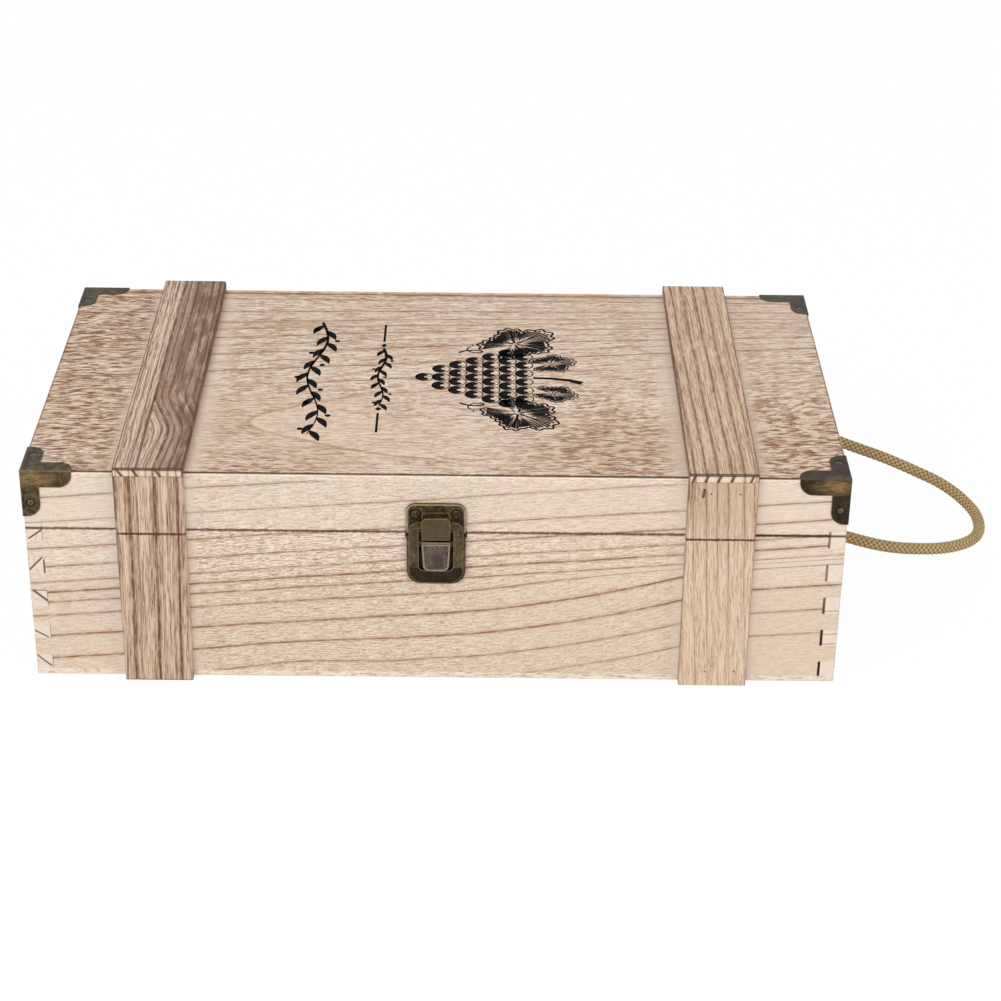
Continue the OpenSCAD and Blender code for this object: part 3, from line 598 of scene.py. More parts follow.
def front_marks_and_shade(t, colour, x, y, z):
    """Painted shadow round the latch, painted shade in the notches between its two plates, and at the right
    a near-black saw line and painted shade in the finger gaps.
    """
    corner = 4.0
    side = t.max(t.sub(t.abs(x), LATCH_HALF - corner), 0.0)
    middle, half = (LATCH_TOP + LATCH_LOW) / 2, (LATCH_TOP - LATCH_LOW) / 2
    high = t.max(t.sub(t.off(z, middle), half - corner), 0.0)
    # Painted shadow: soft grey round the latch's outline.
    colour = t.mix(t.step(t.hypot(side, high), 5.6, 3.8, 0.0, 0.4), colour, (150, 128, 110))
    # Painted shade: black in the notches between the latch's two plates.
    notch = t.mul(t.step(side, 4.7, 4.3), t.band(z, SEAM - 0.8, 2.6))
    colour = t.mix(t.step(notch, 0.05, 0.3), colour, (40, 28, 20))
    return joint_gap_shade(t, dark_saw_line(t, colour, z, t.step(x, 118.0, 126.0, 0.0, 0.9)), x, z)


FRONT_ROWS = [
    (101.9, 0.6, 0.8), (89.8, 0.5, 0.7), (77.0, 0.6, 0.8), (68.1, 0.6, 0.9), (60.5, 0.55, 0.8),
    (55.3, 0.75, 1.0), (50.2, 0.6, 0.9), (43.5, 0.6, 0.85), (33.2, 0.75, 1.0), (21.8, 0.7, 1.0),
    (10.1, 0.55, 0.85), (-1.5, 0.5, 0.75),
]
front = wood("front_board_wood", "xzy", 2.0, (215, 196, 176), (242, 228, 211), (171, 137, 106), (137, 90, 53),
             rows=FRONT_ROWS, flow=front_flow, cell=(1.7, 0.46), fibre=0.95, shade=front_shade,
             burnt=SCORCHED_SEAM, after=front_marks_and_shade)
back = wood("back_board_wood", "xzy", 5.0, (222, 204, 185), dark=(182, 150, 122), line=(137, 90, 56),
            pith=(70.0, 110.0), taper=0.06, spacing=10.0, warp=4.0, cell=(1.8, 0.48), fibre=0.95,
            burnt=SCORCHED_SEAM)
panel = wood("panel_wood", "xyz", 14.0, (233, 219, 201), pith=(30.0, -60.0), spacing=12.0, warp=5.0,
             lines=0.45)


def finger_ends(t, x, y, side):
    """1 on the fingers' ends that show on the front, at the right (side 1) or the left (-1)."""
    inner = side * END_INSIDE
    return t.mul(t.step(y, FRONT + 0.3, FRONT + 0.2), t.step(x, inner - 0.6 * side, inner - 0.1 * side))


# Dark strokes in the left fingers, slanting growth lines and painted shade along some fingers' edges: start,
# end and width of each, as (x, z)
LEFT_STROKES = [
    ((-168.0, 72.8), (-173.6, 68.6), 0.6), ((-169.0, 59.0), (-175.0, 52.6), 0.6),
    ((-168.2, 51.5), (-168.2, 57.8), 0.5), ((-173.6, 42.6), (-168.2, 37.8), 0.8),
    ((-175.0, 42.9), (-168.2, 42.9), 0.4), ((-174.8, 22.6), (-169.0, 19.2), 0.5),
    ((-174.6, 10.0), (-168.6, 4.4), 0.5), ((-174.8, 51.3), (-174.8, 59.3), 0.4),
]


def left_marks(t, colour, x, y, z):
    """End grain of the left fingers: pale and grey, with dark strokes: slanting growth lines, and painted
    shade along some edges.
    """
    face = finger_ends(t, x, y, -1)
    grey = t.step(t.noise(t.mm, 0.4, 3, 0.6, seed=6), 0.3, 0.6, 0.2, 0.7)
    colour = t.mix(t.mul(face, grey), colour, (226, 214, 199))
    for start, stop, width in LEFT_STROKES:
        colour = t.mix(t.mul(t.stroke(x, z, start, stop, width), face, 0.9), colour, (98, 60, 38))
    return dark_saw_line(t, colour, z, face)


def right_marks(t, colour, x, y, z):
    """End grain of the right fingers: plain, with a few level growth lines."""
    face = finger_ends(t, x, y, 1)
    colour = t.mix(t.mul(face, 0.85), colour, (231, 215, 199))
    for height in (36.1, 24.3, 19.4):
        level = t.stroke(x, z, (END_INSIDE, height), (175.0, height + 0.5), 0.5)
        colour = t.mix(t.mul(level, face, 0.6), colour, (168, 124, 94))
    return joint_gap_shade(t, dark_saw_line(t, colour, z, face), x, z)


END_LOOKS = dict(dark=(186, 155, 128), line=(140, 94, 60), cell=(1.8, 0.48), burnt=SCORCHED_SEAM)
left = wood("left_end_wood", "yzx", 8.0, pith=(60.0, -150.0), after=left_marks, **END_LOOKS)
right = wood("right_end_wood", "yzx", 11.0, pith=(30.0, 150.0), spacing=10.0, after=right_marks, **END_LOOKS)
paint(front, "base_front_board", "lid_front_board")
paint(back, "base_back_board", "lid_back_board")
paint(left, "base_left_end", "lid_left_end")
paint(right, "base_right_end", "lid_right_end")
paint(panel, "bottom_panel", "bottle_divider")

# Tip of the flame in the lid's grain, and the points of its two sides
FLAME_TIP = (-83.0, -46.0)
FLAME_BACK = ((-80.0, -40.5), (-74.0, -36.5), (-67.0, -33.5), (-53.0, -26.0), (-32.0, -19.0), (2.0, -13.0))
FLAME_FRONT = ((-81.5, -51.5), (-76.0, -55.5), (-67.0, -60.5), (-58.0, -63.5), (-43.0, -70.4), (-22.0, -76.7),
               (4.0, -82.5), (34.0, -91.0))


def top_flow(t, x, y, z):
    """Lines climb a little to the right, most in the middle of the lid."""
    climb = t.mul(t.step(y, 30.0, 91.0, 0.115, 0.0), t.step(y, -60.0, 0.0, 0.25, 1.0))
    return t.sub(y, t.mul(t.add(x, SLAT_X - 15.0), climb))


def slat_halo(t, x):
    """1 where the slats kept the scorching off: a broad strip inside them and a narrow one outside."""
    across = t.sub(t.abs(x), SLAT_X)
    return t.min(t.step(across, -28.0, -15.5), t.step(across, 15.5, 21.0, 1.0, 0.0))


def top_mask(t, x, y, z):
    """Scorched figure: strong at the left and front right, weak in the middle, gone beside the slats."""
    left_end = t.step(x, -134.0, -138.0)
    left_field = t.mul(t.step(x, -10.0, -70.0), t.step(y, -95.0, -60.0, 0.7, 0.3))
    front_right = t.mul(t.step(x, 5.0, 60.0, 0.0, 0.8), t.step(y, -20.0, -60.0))
    right_end = t.mul(t.step(x, 135.0, 139.0), t.step(y, 40.0, -80.0, 0.25, 1.0))
    patches = t.step(t.noise(t.mm, (0.02, 0.03, 0.0), 2, seed=21), 0.4, 0.62, 0.25, 0.5)
    amount = t.max(left_end, left_field, front_right, right_end, patches)
    return t.mul(amount, on_top(t, z), t.sub(1.0, t.mul(slat_halo(t, x), 0.85)))


def flame_sides(t, x, y):
    """1 on the two sides of the flame."""
    lines = []
    for side in (FLAME_BACK, FLAME_FRONT):
        points = (FLAME_TIP,) + side
        lines += [t.stroke(x, y, start, stop, 1.5) for start, stop in zip(points, points[1:])]
    return t.max(*lines)


def top_shade(t, colour, x, y, z, h):
    """Brown clouds outside the flame, at the back, the front right and both ends; pale inside the
    flame and beside the slats."""
    wave = t.mul(t.sway(t.mm, (0.06, 0.12, 0.0), 3, seed=27), 5.0)
    reach = t.mul(t.m("SQRT", t.max(t.sub(x, FLAME_TIP[0]), 0.0)), 3.7)
    inside = t.mul(t.step(t.sub(t.add(t.off(y, -46.5), wave), reach), -3.0, 0.5, 1.0, 0.0),
                   t.step(x, FLAME_TIP[0], FLAME_TIP[0] + 1.0))
    outside = t.mul(t.sub(1.0, inside), t.step(y, 0.0, -40.0, 0.0, 0.38))
    left_field = t.mul(t.step(x, -10.0, -60.0), t.max(outside, t.mul(t.band(y, 56.0, 9.0), 0.35)))
    corner = t.mul(t.step(x, 10.0, 70.0), t.step(y, -20.0, -55.0), 0.6)
    back_edge = t.mul(t.band(y, 90.5, 6.0), 0.6)
    left_end = t.step(x, -136.0, -140.0, 0.0, 0.5)
    right_end = t.mul(t.step(x, 136.0, 140.0), t.step(y, 30.0, -60.0, 0.1, 0.45))
    amount = t.mul(t.max(left_field, corner, back_edge, left_end, right_end), on_top(t, z))
    cloud = t.step(t.noise(t.mm, (0.02, 0.06, 0.0), 3, seed=24), 0.3, 0.65, 0.4, 1.0)
    colour = t.mix(t.mul(amount, cloud), colour, (184, 145, 110))
    colour = t.mix(t.mul(inside, t.step(x, 60.0, -40.0, 0.0, 0.55)), colour, (230, 204, 180))
    colour = t.mix(t.mul(slat_halo(t, x), on_top(t, z, 0.75)), colour, (234, 214, 194))
    sides = flame_sides(t, x, t.add(y, t.mul(wave, 0.25)))
    return t.mix(t.mul(sides, 0.5), colour, (170, 128, 92))


def top_edges(t, colour, x, y, z):
    """The panel's cut edge is as pale as the boards, with a painted highlight line below the scorched face.
    """
    fleck = t.noise(t.mm, (0.4, 0.4, 1.9), 3, 0.6, seed=31)
    edge = t.mix(t.step(fleck, 0.4, 0.6), (236, 221, 205), (214, 190, 168))
    # Painted highlight: a bright line just below the top face.
    edge = t.mix(t.step(z, LID_TOP - 1.0, LID_TOP - 0.7), edge, (252, 246, 228))
    side = t.step(t.facing("z"), 0.8, 0.6)
    return t.mix(t.mul(side, t.step(z, LID_TOP - 0.25, LID_TOP - 0.4)), colour, edge)


TOP_ROWS = [
    (-12.0, 0.8, 0.5), (3.7, 0.9, 0.85), (12.5, 0.7, 0.5), (21.4, 0.9, 0.8), (30.5, 0.7, 0.55),
    (39.7, 0.9, 0.85), (49.0, 1.0, 0.6), (57.0, 1.0, 0.6), (69.0, 0.9, 0.8), (84.5, 0.8, 0.7),
    (91.0, 1.2, 1.0),
]
TOP_BURNS = [("y", -94.4, 1.1, 0.95), ("y", 94.8, 0.8, 0.6), ("x", -174.6, 0.8, 0.6), ("x", 174.6, 0.8, 0.6)]
top = wood("top_wood", "xyz", 17.0, (230, 207, 184), (246, 230, 211), (182, 146, 116), (128, 80, 50),
           rows=TOP_ROWS, flow=top_flow, lines=0.85, fibre=0.9, dashes=0.55, cell=(3.0, 0.8), tone=0.3,
           figure=(0.85, (120, 75, 47), top_mask), burnt=TOP_BURNS, shade=top_shade, after=top_edges)
paint(top, "lid_top_panel")


def slat_edges(side, strength, width):
    return [("x", side * SLAT_X + edge, width, strength) for edge in (-SLAT_HALF, SLAT_HALF)]


def left_slat_flow(t, x, y, z):
    """Bands lean a little to the left on the way down."""
    h = t.add(x, SLAT_X + SLAT_HALF)
    return t.add(h, t.mul(t.sub(LID_TOP, z), 0.0099, t.m("MULTIPLY_ADD", h, 0.06, 1.2)))


def right_slat_flow(t, x, y, z):
    """Lines lean to the right on the way down."""
    return t.sub(t.sub(x, SLAT_X - SLAT_HALF), t.mul(t.sub(LID_TOP, z), 0.064))


# Brad holes in the right front slat, as (x, z)
BRADS = [(117.5, 7.3), (130.3, 7.5), (112.7, 97.9), (115.8, 95.8), (128.2, 95.7)]


def right_slat_fade(t, z):
    """The lines are strong near the top and weak further down."""
    return t.step(z, 20.0, 85.0, 0.35, 1.0)


def right_slat_shade(t, colour, x, y, z, h):
    """The lid's half is browner, most at its left edge, where the top is singed."""
    colour = t.mix(t.step(z, 70.0, 84.0, 0.0, 0.35), colour, (186, 154, 127))
    streaks = t.step(t.noise(t.mm, (1.6, 0.3, 0.12), 3, 0.6, seed=41), 0.42, 0.6, 0.15, 0.85)
    singed = t.mul(t.step(x, 116.0, 106.0), t.step(z, 78.0, 98.0), streaks)
    return t.mix(singed, colour, (124, 84, 60))


def brads(t, colour, x, y, z):
    """Holes of the brads that hold the slat, and a smudge beside one."""
    smudge = t.mul(t.stroke(x, z, (112.5, 94.4), (113.0, 97.4), 0.9), 0.9)
    colour = t.mix(smudge, colour, (84, 54, 38))
    for a, b in BRADS:
        colour = t.mix(t.stroke(x, z, (a, b), (a + 0.1, b), 0.5), colour, (40, 26, 20))
    return colour


slat_front_left = wood(
    "slat_front_left_wood", "zxy", 23.0, (193, 164, 140), (222, 197, 171), (150, 114, 91), (96, 63, 46),
    (222, 204, 182), flow=left_slat_flow, cell=(7.5, 0.44), lines=0.95, fibre=0.95, dashes=0.75, tone=0.5,
    rows=[(0.3, 1.1, 0.9), (6.6, 1.0, 1.0), (9.5, 0.5, 0.5), (17.4, 1.0, 1.0), (19.8, 0.5, 0.5),
          (24.9, 0.5, 0.5), (27.3, 0.9, 0.95)],
    burnt=SLAT_SEAM + [("z", 0.2, 0.7, 0.7)])
slat_front_right = wood(
    "slat_front_right_wood", "zxy", 26.0, (212, 187, 162), (226, 204, 181), (188, 156, 128), (136, 94, 66),
    (222, 204, 182), flow=right_slat_flow, cell=(4.5, 0.44), fade=right_slat_fade, dashes=0.5,
    rows=[(-4.0, 0.5, 0.7), (1.2, 0.5, 0.8), (6.8, 0.5, 0.9), (11.5, 0.5, 0.8), (16.2, 0.5, 0.9),
          (23.0, 0.5, 0.8), (27.4, 0.5, 0.8)],
    shade=right_slat_shade, after=brads, burnt=slat_edges(1, 0.5, 0.4) + SLAT_SEAM)

# Arch in the grain of the left top slat: its tip, and how far its right side swings at the front
ARCH_X = -125.6
ARCH_Y = -33.0
ARCH_SWING = 9.8


def left_top_flow(t, x, y, z):
    """Straight lines at the back that swing to the right past the tip of an arch."""
    swing = t.mul(t.step(y, ARCH_Y + 6.0, ARCH_Y - 34.0, 0.0, ARCH_SWING), t.step(y, -60.0, -110.0, 1.0, 0.7),
                  t.step(x, ARCH_X - 0.5, ARCH_X + 1.0))
    return t.sub(t.sub(x, ARCH_X), swing)


def left_top_shade(t, colour, x, y, z, h):
    """Pale left of the arch and inside it, brown to grey-brown on the right."""
    cloud = t.noise(t.mm, (0.3, 0.05, 0.3), 3, 0.6, seed=37)
    dark_side = t.mul(t.step(h, -0.6, 0.6), t.step(cloud, 0.3, 0.6, 0.35, 0.9), 0.8)
    colour = t.mix(dark_side, colour, (150, 114, 92))
    deep = t.mul(t.step(h, 4.0, 8.0), t.step(cloud, 0.4, 0.6, 0.1, 0.6))
    colour = t.mix(deep, colour, (100, 76, 64))
    leg = t.mul(t.band(x, ARCH_X, 0.8), t.step(y, ARCH_Y + 4.0, ARCH_Y - 2.0), 0.85)
    return t.mix(leg, colour, (92, 64, 50))


def front_strokes(strokes):
    """Slanting growth lines on the sawn front end of a top slat, as (bottom x, top x)."""
    low, high = LID_TOP + 0.2, LID_TOP + 3.2

    def draw(t, colour, x, y, z):
        face = t.step(y, FRONT - 3.6, FRONT - 3.9)
        colour = t.mix(t.mul(face, t.step(z, high - 0.6, high, 0.0, 0.85)), colour, (74, 50, 38))
        for start, stop in strokes:
            mark = t.mul(t.stroke(x, z, (start, low), (stop, high), 0.85), face, 0.9)
            colour = t.mix(mark, colour, (92, 60, 42))
        return colour
    return draw


slat_top_left = wood(
    "slat_top_left_wood", "yxz", 29.0, (208, 180, 155), (234, 211, 186), (146, 114, 93), (84, 58, 46),
    (227, 205, 181), flow=left_top_flow, cell=(8.5, 0.5), fibre=0.95, dashes=0.75, tone=0.2,
    rows=[(-8.6, 0.5, 0.6), (-6.0, 0.4, 0.5), (-3.0, 0.5, 0.7), (0.0, 0.9, 1.0), (2.8, 0.6, 0.8),
          (6.2, 0.7, 0.9), (9.6, 0.6, 0.8), (13.4, 0.7, 0.9), (17.0, 0.6, 0.8)],
    shade=left_top_shade, burnt=slat_edges(-1, 0.9, 0.7),
    after=front_strokes([(-131.6, -133.6), (-125.2, -127.0), (-115.4, -117.4)]))


def right_top_flow(t, x, y, z):
    """Soft lines that lean a little to the left on the way back."""
    return t.add(t.sub(x, SLAT_X - SLAT_HALF), t.mul(t.sub(y, FRONT - 4.0), 0.02))


slat_top_right = wood(
    "slat_top_right_wood", "yxz", 32.0, (212, 182, 155), (232, 207, 181), (170, 134, 107), (112, 76, 55),
    (233, 213, 190), flow=right_top_flow, cell=(8.0, 0.5), lines=0.85,
    rows=[(2.6, 0.9, 0.9), (7.2, 0.8, 0.9), (12.2, 0.9, 0.9), (18.0, 0.8, 0.9), (23.4, 0.9, 0.9),
          (28.2, 0.7, 0.8)],
    burnt=slat_edges(1, 0.9, 0.7),
    after=front_strokes([(107.7, 108.8), (113.0, 114.2), (118.4, 119.6), (124.0, 125.2), (132.2, 133.2)]))
paint(slat_front_left, "base_front_slat_left", "lid_front_slat_left")
paint(slat_front_right, "base_front_slat_right", "lid_front_slat_right")
paint(slat_top_left, "lid_top_slat_left")
paint(slat_top_right, "lid_top_slat_right")

# Nails of a corner guard, and the middle of the spot rubbed to gold
NAIL_X = 171.6
NAIL_Y = 80.1
NAIL_Z = 86.1
GOLD_SPOT = (169.0, 95.6, 97.6)


def guard_tint(side, end, strength):
    """Gold rubbed through near the corner, and painted shade: dark rings in the nail dimples."""
    def tint(t, colour, x, y, z):
        rag = t.noise(t.mm, (0.25, 0.25, 1.1), 3, 0.6, seed=3)
        spot = (side * GOLD_SPOT[0], end * GOLD_SPOT[1], GOLD_SPOT[2])
        away = t.vec("LENGTH", t.vec("MULTIPLY", t.vec("SUBTRACT", t.mm, spot), (0.55, 1.0, 1.3)))
        gold = t.mul(t.step(away, 7.0, 1.5), t.step(rag, 0.38, 0.6, 0.25, strength))
        colour = t.mix(gold, colour, (156, 126, 84))
        for nail in ((side * NAIL_X, end * NAIL_Y, LID_TOP), (side * NAIL_X, end * -FRONT, NAIL_Z)):
            # Painted shade of each nail's dimple.
            dimple = t.step(t.vec("DISTANCE", t.mm, nail), 2.5, 1.8, 0.0, 0.85)
            colour = t.mix(dimple, colour, (22, 19, 15))
        return colour
    return tint


def out_of_front(t, y):
    return t.sub(FRONT, y)


def plate_tint(t, colour, x, y, z):
    """Catch plate: black walls, a painted highlight on its rim, painted shade as dark rings round the screws,
    and an olive tongue.
    """
    out = out_of_front(t, y)
    facing = t.step(t.xyz(t.normal)[1], -0.5, -0.8)
    # Painted highlight on the rim's front face, in patches where it is rubbed.
    rim = t.mul(t.step(out, 0.98, 1.06), t.step(out, 1.4, 1.3), facing)
    tongue = t.mul(t.step(out, 4.8, 5.2), facing, 0.7)
    wall = t.mul(t.step(t.facing("y"), 0.5, 0.3), t.step(out, 1.3, 1.2))
    ring = t.hypot(t.off(t.abs(x), CATCH_SCREW[0]), t.off(z, CATCH_SCREW[1]))
    # Painted shade: dark rings in the recesses round the screws.
    colour = t.mix(t.mul(t.step(ring, 2.8, 2.1), t.step(out, 1.0, 0.9)), colour, (18, 15, 11))
    rubbed = t.step(t.noise(t.mm, 0.7, 2, seed=13), 0.35, 0.6, 0.45, 0.85)
    colour = t.mix(t.mul(rim, rubbed), colour, (172, 154, 112))
    colour = t.mix(tongue, colour, (88, 75, 53))
    return t.mix(wall, colour, (32, 25, 18))


def base_plate_shade(t, colour, x, y, z):
    """Base plate: painted shade makes it nearly black under the frame; grey-brown only on its shoulders."""
    return t.mix(t.step(t.abs(x), 12.0, 11.4, 0.0, 0.85), colour, (14, 11, 8))


def frame_tint(t, colour, x, y, z):
    """Frame: olive above; below a sharp border where it bends back and faces down, blackened by patina and
    painted shade; its side walls dark above the border, with a painted highlight below it.
    """
    wall = t.step(t.facing("y"), 0.5, 0.3, 0.0, 0.8)
    # Patina and painted shade on the bent-back part, which faces down.
    low = t.step(t.add(z, t.mul(t.sway(t.mm, 0.5, 2), 1.2)), 57.9, 57.4)
    colour = t.mix(t.mul(low, 0.82), colour, (22, 18, 8))
    # Side walls: dark above the border, and a painted highlight along the lower outline.
    return t.mix(wall, colour, t.mix(low, (38, 30, 21), (118, 98, 68)))


def lever_tint(t, colour, x, y, z):
    """Lever: light rim, a light line at its upper end, and a black barrel at its pivot."""
    rim = t.max(t.step(out_of_front(t, y), 3.54, 3.6), t.mul(t.band(z, PIVOT_Z + 0.6, 0.4), 0.7))
    colour = t.mix(t.mul(rim, 0.7), colour, (168, 148, 120))
    return t.mix(t.step(z, PIVOT_Z + 0.85, PIVOT_Z + 1.05), colour, (10, 9, 8))


def screw_tint(t, colour, x, y, z):
    """Dark cross in the head of each screw of the catch plate: painted shade in its recess."""
    a = t.sub(t.abs(x), CATCH_SCREW[0])
    b = t.sub(z, CATCH_SCREW[1])
    cross = [t.stroke(a, b, (-c, -d), (c, d), 0.5) for c, d in ((1.0, 0.5), (0.5, -1.0))]
    return t.mix(t.mul(t.max(*cross), 0.95), colour, (10, 7, 5))


# Material, base, high and gold colours, edge wear and painted highlight, tint, seed and speckle, then the
# nodes that have it
BRONZES = [
    ("guard_left", (44, 38, 27), (100, 86, 62), (170, 142, 96), 0.6, guard_tint(-1, -1, 0.75), 2.0, 0.3,
     "corner_front_left"),
    ("guard_right", (34, 31, 27), (62, 55, 42), (160, 124, 70), 0.5, guard_tint(1, -1, 0.8), 5.0, 0.3,
     "corner_front_right"),
    ("guard_back_left", (46, 41, 33), (84, 76, 60), (140, 116, 72), 0.5, guard_tint(-1, 1, 0.5), 7.0, 0.3,
     "corner_back_left"),
    ("guard_back_right", (44, 39, 32), (84, 75, 58), (140, 116, 72), 0.5, guard_tint(1, 1, 0.5), 8.0, 0.3,
     "corner_back_right"),
    ("catch", (50, 41, 27), (94, 80, 54), (176, 158, 114), 0.8, plate_tint, 9.0, 0.3, "catch_plate"),
    ("base_plate", (70, 60, 48), (116, 98, 80), (150, 132, 104), 0.3, base_plate_shade, 10.0, 0.1,
     "latch_base_plate"),
    ("frame", (62, 52, 36), (100, 86, 61), (182, 166, 122), 0.9, frame_tint, 11.0, 0.3, "latch_frame"),
    ("lever", (72, 64, 57), (110, 98, 87), (160, 144, 120), 0.6, lever_tint, 12.0, 0.45, "latch_lever"),
    ("hinge", (58, 50, 34), (100, 88, 58), (150, 122, 72), 0.5, None, 15.0, 0.3,
     "base_hinge_leaf_left", "base_hinge_leaf_right", "lid_hinge_leaf_left", "lid_hinge_leaf_right"),
    ("screw", (50, 34, 24), (98, 72, 54), (150, 118, 88), 0.6, screw_tint, 18.0, 0.3,
     "latch_base_screws", "catch_screws"),
    ("pin", (76, 62, 38), (128, 108, 70), (168, 138, 84), 0.6, None, 21.0, 0.3,
     "latch_pivot_pin", "hinge_pin_left", "hinge_pin_right", "base_hinge_screws", "lid_hinge_screws"),
    ("nail", (70, 54, 34), (112, 88, 56), (170, 142, 96), 0.5, None, 24.0, 0.3, "corner_nails"),
    ("draw_pin", (20, 17, 13), (40, 33, 24), (60, 50, 36), 0.2, None, 25.0, 0.1, "draw_pin"),
]
for material, base, high, gold, wear_and_highlight, tint, seed, speckle, *nodes in BRONZES:
    paint(bronze(material + "_bronze", base, high, gold, wear_and_highlight, tint, seed, speckle), *nodes)
rope_look = rope_material()
for braided in (rope, knots):
    braided.data.materials.append(rope_look)

# ------------------------------------------------------------------ stamp on the lid


class Stamp:
    """Flat ink shapes on the lid. Drawn upright: a runs across, b runs up, and up is the box's right."""

    def __init__(self, z):
        self.verts, self.faces, self.z = [], [], z

    def polygon(self, points):
        first = len(self.verts)
        self.verts += [(b * MM, -a * MM, self.z * MM) for a, b in points]
        self.faces.append(list(range(first, first + len(points))))

    def ribbon(self, points, widths):
        """Line with its own width at each point."""
        edge = []
        for i, (a, b) in enumerate(points):
            (a0, b0), (a1, b1) = points[max(i - 1, 0)], points[min(i + 1, len(points) - 1)]
            off = widths[i] / 2 / (math.hypot(a1 - a0, b1 - b0) or 1.0)
            da, db = (b0 - b1) * off, (a1 - a0) * off
            edge.append(((a + da, b + db), (a - da, b - db)))
        for (p, q), (r, s) in zip(edge, edge[1:]):
            self.polygon([p, q, s, r])

    def arc(self, a, b, r, start, stop, wide, thin, n):
        """Part of a circle, wide in the middle and thin at its ends."""
        points, widths = [], []
        for i in range(n + 1):
            f = i / n
            angle = math.radians(start + (stop - start) * f)
            points.append((a + r * math.cos(angle), b + r * math.sin(angle)))
            widths.append(thin + (wide - thin) * math.sin(math.pi * f))
        self.ribbon(points, widths)

    def disc(self, a, b, r):
        angles = [2 * math.pi * i / 14 for i in range(14)]
        self.polygon([(a + r * math.cos(angle), b + r * math.sin(angle)) for angle in angles])

    def piece(self, name):
        obj = link_mesh(name, self.verts, self.faces)
        obj.data.materials.append(ink())
        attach(obj, "lid")


def grapes(s, a0, b0, rows, r):
    """Hanging bunch: rows of round grapes, each with a broad shaded lower side."""
    for row, count in enumerate(rows):
        for k in range(count):
            a = a0 + (k - (count - 1) / 2) * r * 1.94
            b = b0 - row * r * 1.68
            s.arc(a, b, r * 0.88, 0, 360, 0.6, 0.6, 26)
            s.arc(a, b, r * 0.46, 140, 405, r * 0.9, r * 0.4, 24)


def leaf(s, a0, b0, size, turn):
    """Five-lobed vine leaf: toothed outline, veins, and hatching that darkens it."""
    def at(radius, angle):
        angle = math.radians(angle + turn)
        return a0 + radius * math.cos(angle), b0 + radius * math.sin(angle)
    lobes = ((90, 1.0), (30, 0.82), (150, 0.82), (-28, 0.62), (208, 0.62))

    def edge(angle):
        best = max(length * max(0.0, math.cos(math.radians((angle - mid) * 1.7))) ** 0.6
                   for mid, length in lobes)
        return size * max(best, 0.34) * (1 + 0.05 * math.sin(math.radians(angle * 22)))
    angles = [-70 + 320 * i / 144 for i in range(145)]
    outline = [at(edge(angle), angle) for angle in angles]
    outline.append(at(size * 0.1, -90))
    s.ribbon(outline + outline[:1], [0.045 * size + 0.15] * (len(outline) + 1))
    for mid, length in lobes:
        s.ribbon([at(size * 0.05, mid), at(size * length * 0.45, mid + 2), at(size * length * 0.85, mid)],
                 [0.06 * size, 0.04 * size, 0.2])
    for k in range(61):
        angle = -66 + 312 * k / 60
        reach = edge(angle)
        inner = 0.25 + 0.25 * ((k * 7) % 5) / 5
        s.ribbon([at(reach * inner, angle), at(reach * 0.9, angle)], [0.02 * size, 0.062 * size])


def tendril(s, a, b, way, size):
    """Curl that winds up and thins out sideways."""
    points = []
    steps = 69
    for i in range(steps + 1):
        f = i / steps
        angle = math.radians(-60 + 560 * f)
        r = size * (1 - f) ** 1.3
        points.append((a + way * (size * 1.6 * f + r * math.cos(angle) * 0.6), b + r * math.sin(angle)))
    s.ribbon(points, [1.3 - 0.9 * i / steps for i in range(steps + 1)])


def sprig(s, b0, reach, swing, pairs, size):
    """Branch running across: a gently waving stem with pointed leaves to both sides and some berries."""
    def stem(f):
        return -reach + 2 * reach * f, b0 + swing * math.sin(2 * math.pi * 1.5 * f)
    s.ribbon([stem(i / 90) for i in range(91)], [1.5 - 1.0 * i / 90 for i in range(91)])
    for k in range(pairs):
        for way in (-1, 1):
            a, b = stem((k + 0.5 + 0.25 * way) / pairs)
            turn = math.radians(38 * way)
            parts = [i / 12 for i in range(13)]
            blade = [(a + size * f * math.cos(turn * (1 - 0.35 * f)),
                      b + size * f * math.sin(turn * (1 - 0.35 * f))) for f in parts]
            s.ribbon(blade, [0.25 + size * 0.3 * math.sin(math.pi * f ** 0.8) for f in parts])
        a, b = stem((k + 0.62) / pairs)
        s.disc(a, b + (1 if k % 2 else -1) * size * 0.42, size * 0.12)


stamp = Stamp(LID_TOP + 0.02)
grapes(stamp, 0, 38, (6, 7, 6, 5, 4, 3, 1), 4.5)
leaf(stamp, -36, 34, 21, 40)
leaf(stamp, 36, 35, 20, -40)
leaf(stamp, -15, 50, 12, 15)
leaf(stamp, 16, 51, 11, -15)
stamp.ribbon([(0, 42), (0.5, 50), (2, 58), (5, 64)], [2.0, 2.2, 2.6, 3.6])
tendril(stamp, 24, 15, 1, 7)
tendril(stamp, -24, 14, -1, 7)
sprig(stamp, -57, 58, 3.5, 9, 11)
sprig(stamp, -27, 30, 1.5, 7, 7.5)
for way in (-1, 1):
    stamp.ribbon([(way * 37, -27), (way * 56, -27)], [1.1, 1.1])
    stamp.polygon([(way * 33 - 2, -27), (way * 33, -25.4), (way * 33 + 2, -27), (way * 33, -28.6)])
stamp.piece("lid_stamp")

# ------------------------------------------------------------------ floor and light


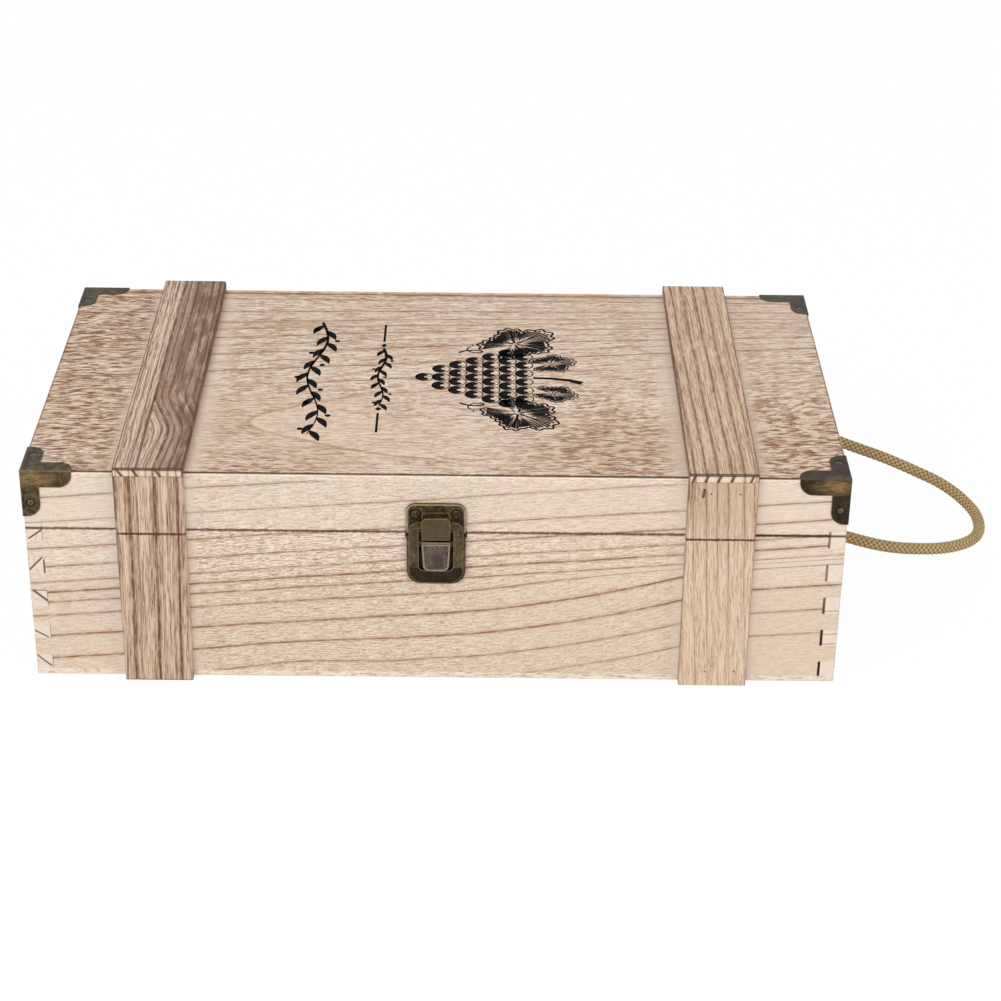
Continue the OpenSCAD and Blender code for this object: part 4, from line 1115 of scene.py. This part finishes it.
def add_stage():
    """White floor just below the box: a camera ray sees it nearly white, but it keeps the box's shadow."""
    corners = [(x, y, -0.0002) for x, y in ((-6, -6), (6, -6), (6, 6), (-6, 6))]
    floor = link_mesh("floor", corners, [(0, 1, 2, 3)])
    mat = bpy.data.materials.new("floor_white")
    mat.use_nodes = True
    nodes, links = mat.node_tree.nodes, mat.node_tree.links
    bsdf = nodes["Principled BSDF"]
    bsdf.inputs["Base Color"].default_value = (0.98, 0.98, 0.98, 1)
    bsdf.inputs["Roughness"].default_value = 0.9
    bsdf.inputs["Specular IOR Level"].default_value = 0.1
    glow = nodes.new("ShaderNodeEmission")
    glow.inputs["Strength"].default_value = 1.0
    share = nodes.new("ShaderNodeMath")
    share.operation = "MULTIPLY"
    share.inputs[1].default_value = 0.97
    both = nodes.new("ShaderNodeMixShader")
    links.new(nodes.new("ShaderNodeLightPath").outputs["Is Camera Ray"], share.inputs[0])
    links.new(share.outputs[0], both.inputs[0])
    links.new(bsdf.outputs[0], both.inputs[1])
    links.new(glow.outputs[0], both.inputs[2])
    links.new(both.outputs[0], nodes["Material Output"].inputs[0])
    floor.data.materials.append(mat)


def add_light(name, place, size, power):
    """Square area lamp that faces the middle of the box."""
    data = bpy.data.lights.new(name, "AREA")
    data.shape = "RECTANGLE"
    data.size = data.size_y = size
    data.energy = power
    lamp = bpy.data.objects.new(name, data)
    lamp.location = place
    lamp.rotation_euler = (Vector((0, 0, 0.05)) - Vector(place)).to_track_quat("-Z", "Y").to_euler()
    scene.collection.objects.link(lamp)


def add_world():
    """White where the camera, gloss or glass sees it, and dimmer as a light."""
    world = bpy.data.worlds.new("studio")
    scene.world = world
    world.use_nodes = True
    nodes, links = world.node_tree.nodes, world.node_tree.links
    path = nodes.new("ShaderNodeLightPath")
    seen = path.outputs["Is Camera Ray"]
    for ray in ("Is Glossy Ray", "Is Transmission Ray"):
        either = nodes.new("ShaderNodeMath")
        either.operation = "MAXIMUM"
        links.new(seen, either.inputs[0])
        links.new(path.outputs[ray], either.inputs[1])
        seen = either.outputs[0]
    power = nodes.new("ShaderNodeMapRange")
    power.inputs["To Min"].default_value = 0.6
    power.inputs["To Max"].default_value = 1.0
    links.new(seen, power.inputs["Value"])
    back = nodes["Background"]
    links.new(power.outputs[0], back.inputs["Strength"])
    back.inputs["Color"].default_value = (1, 1, 1, 1)


scene.view_settings.view_transform = "Standard"
add_stage()
add_world()
add_light("key", (-0.9, -1.5, 1.7), 1.4, 22)
add_light("fill", (1.3, -1.1, 1.0), 1.2, 7)
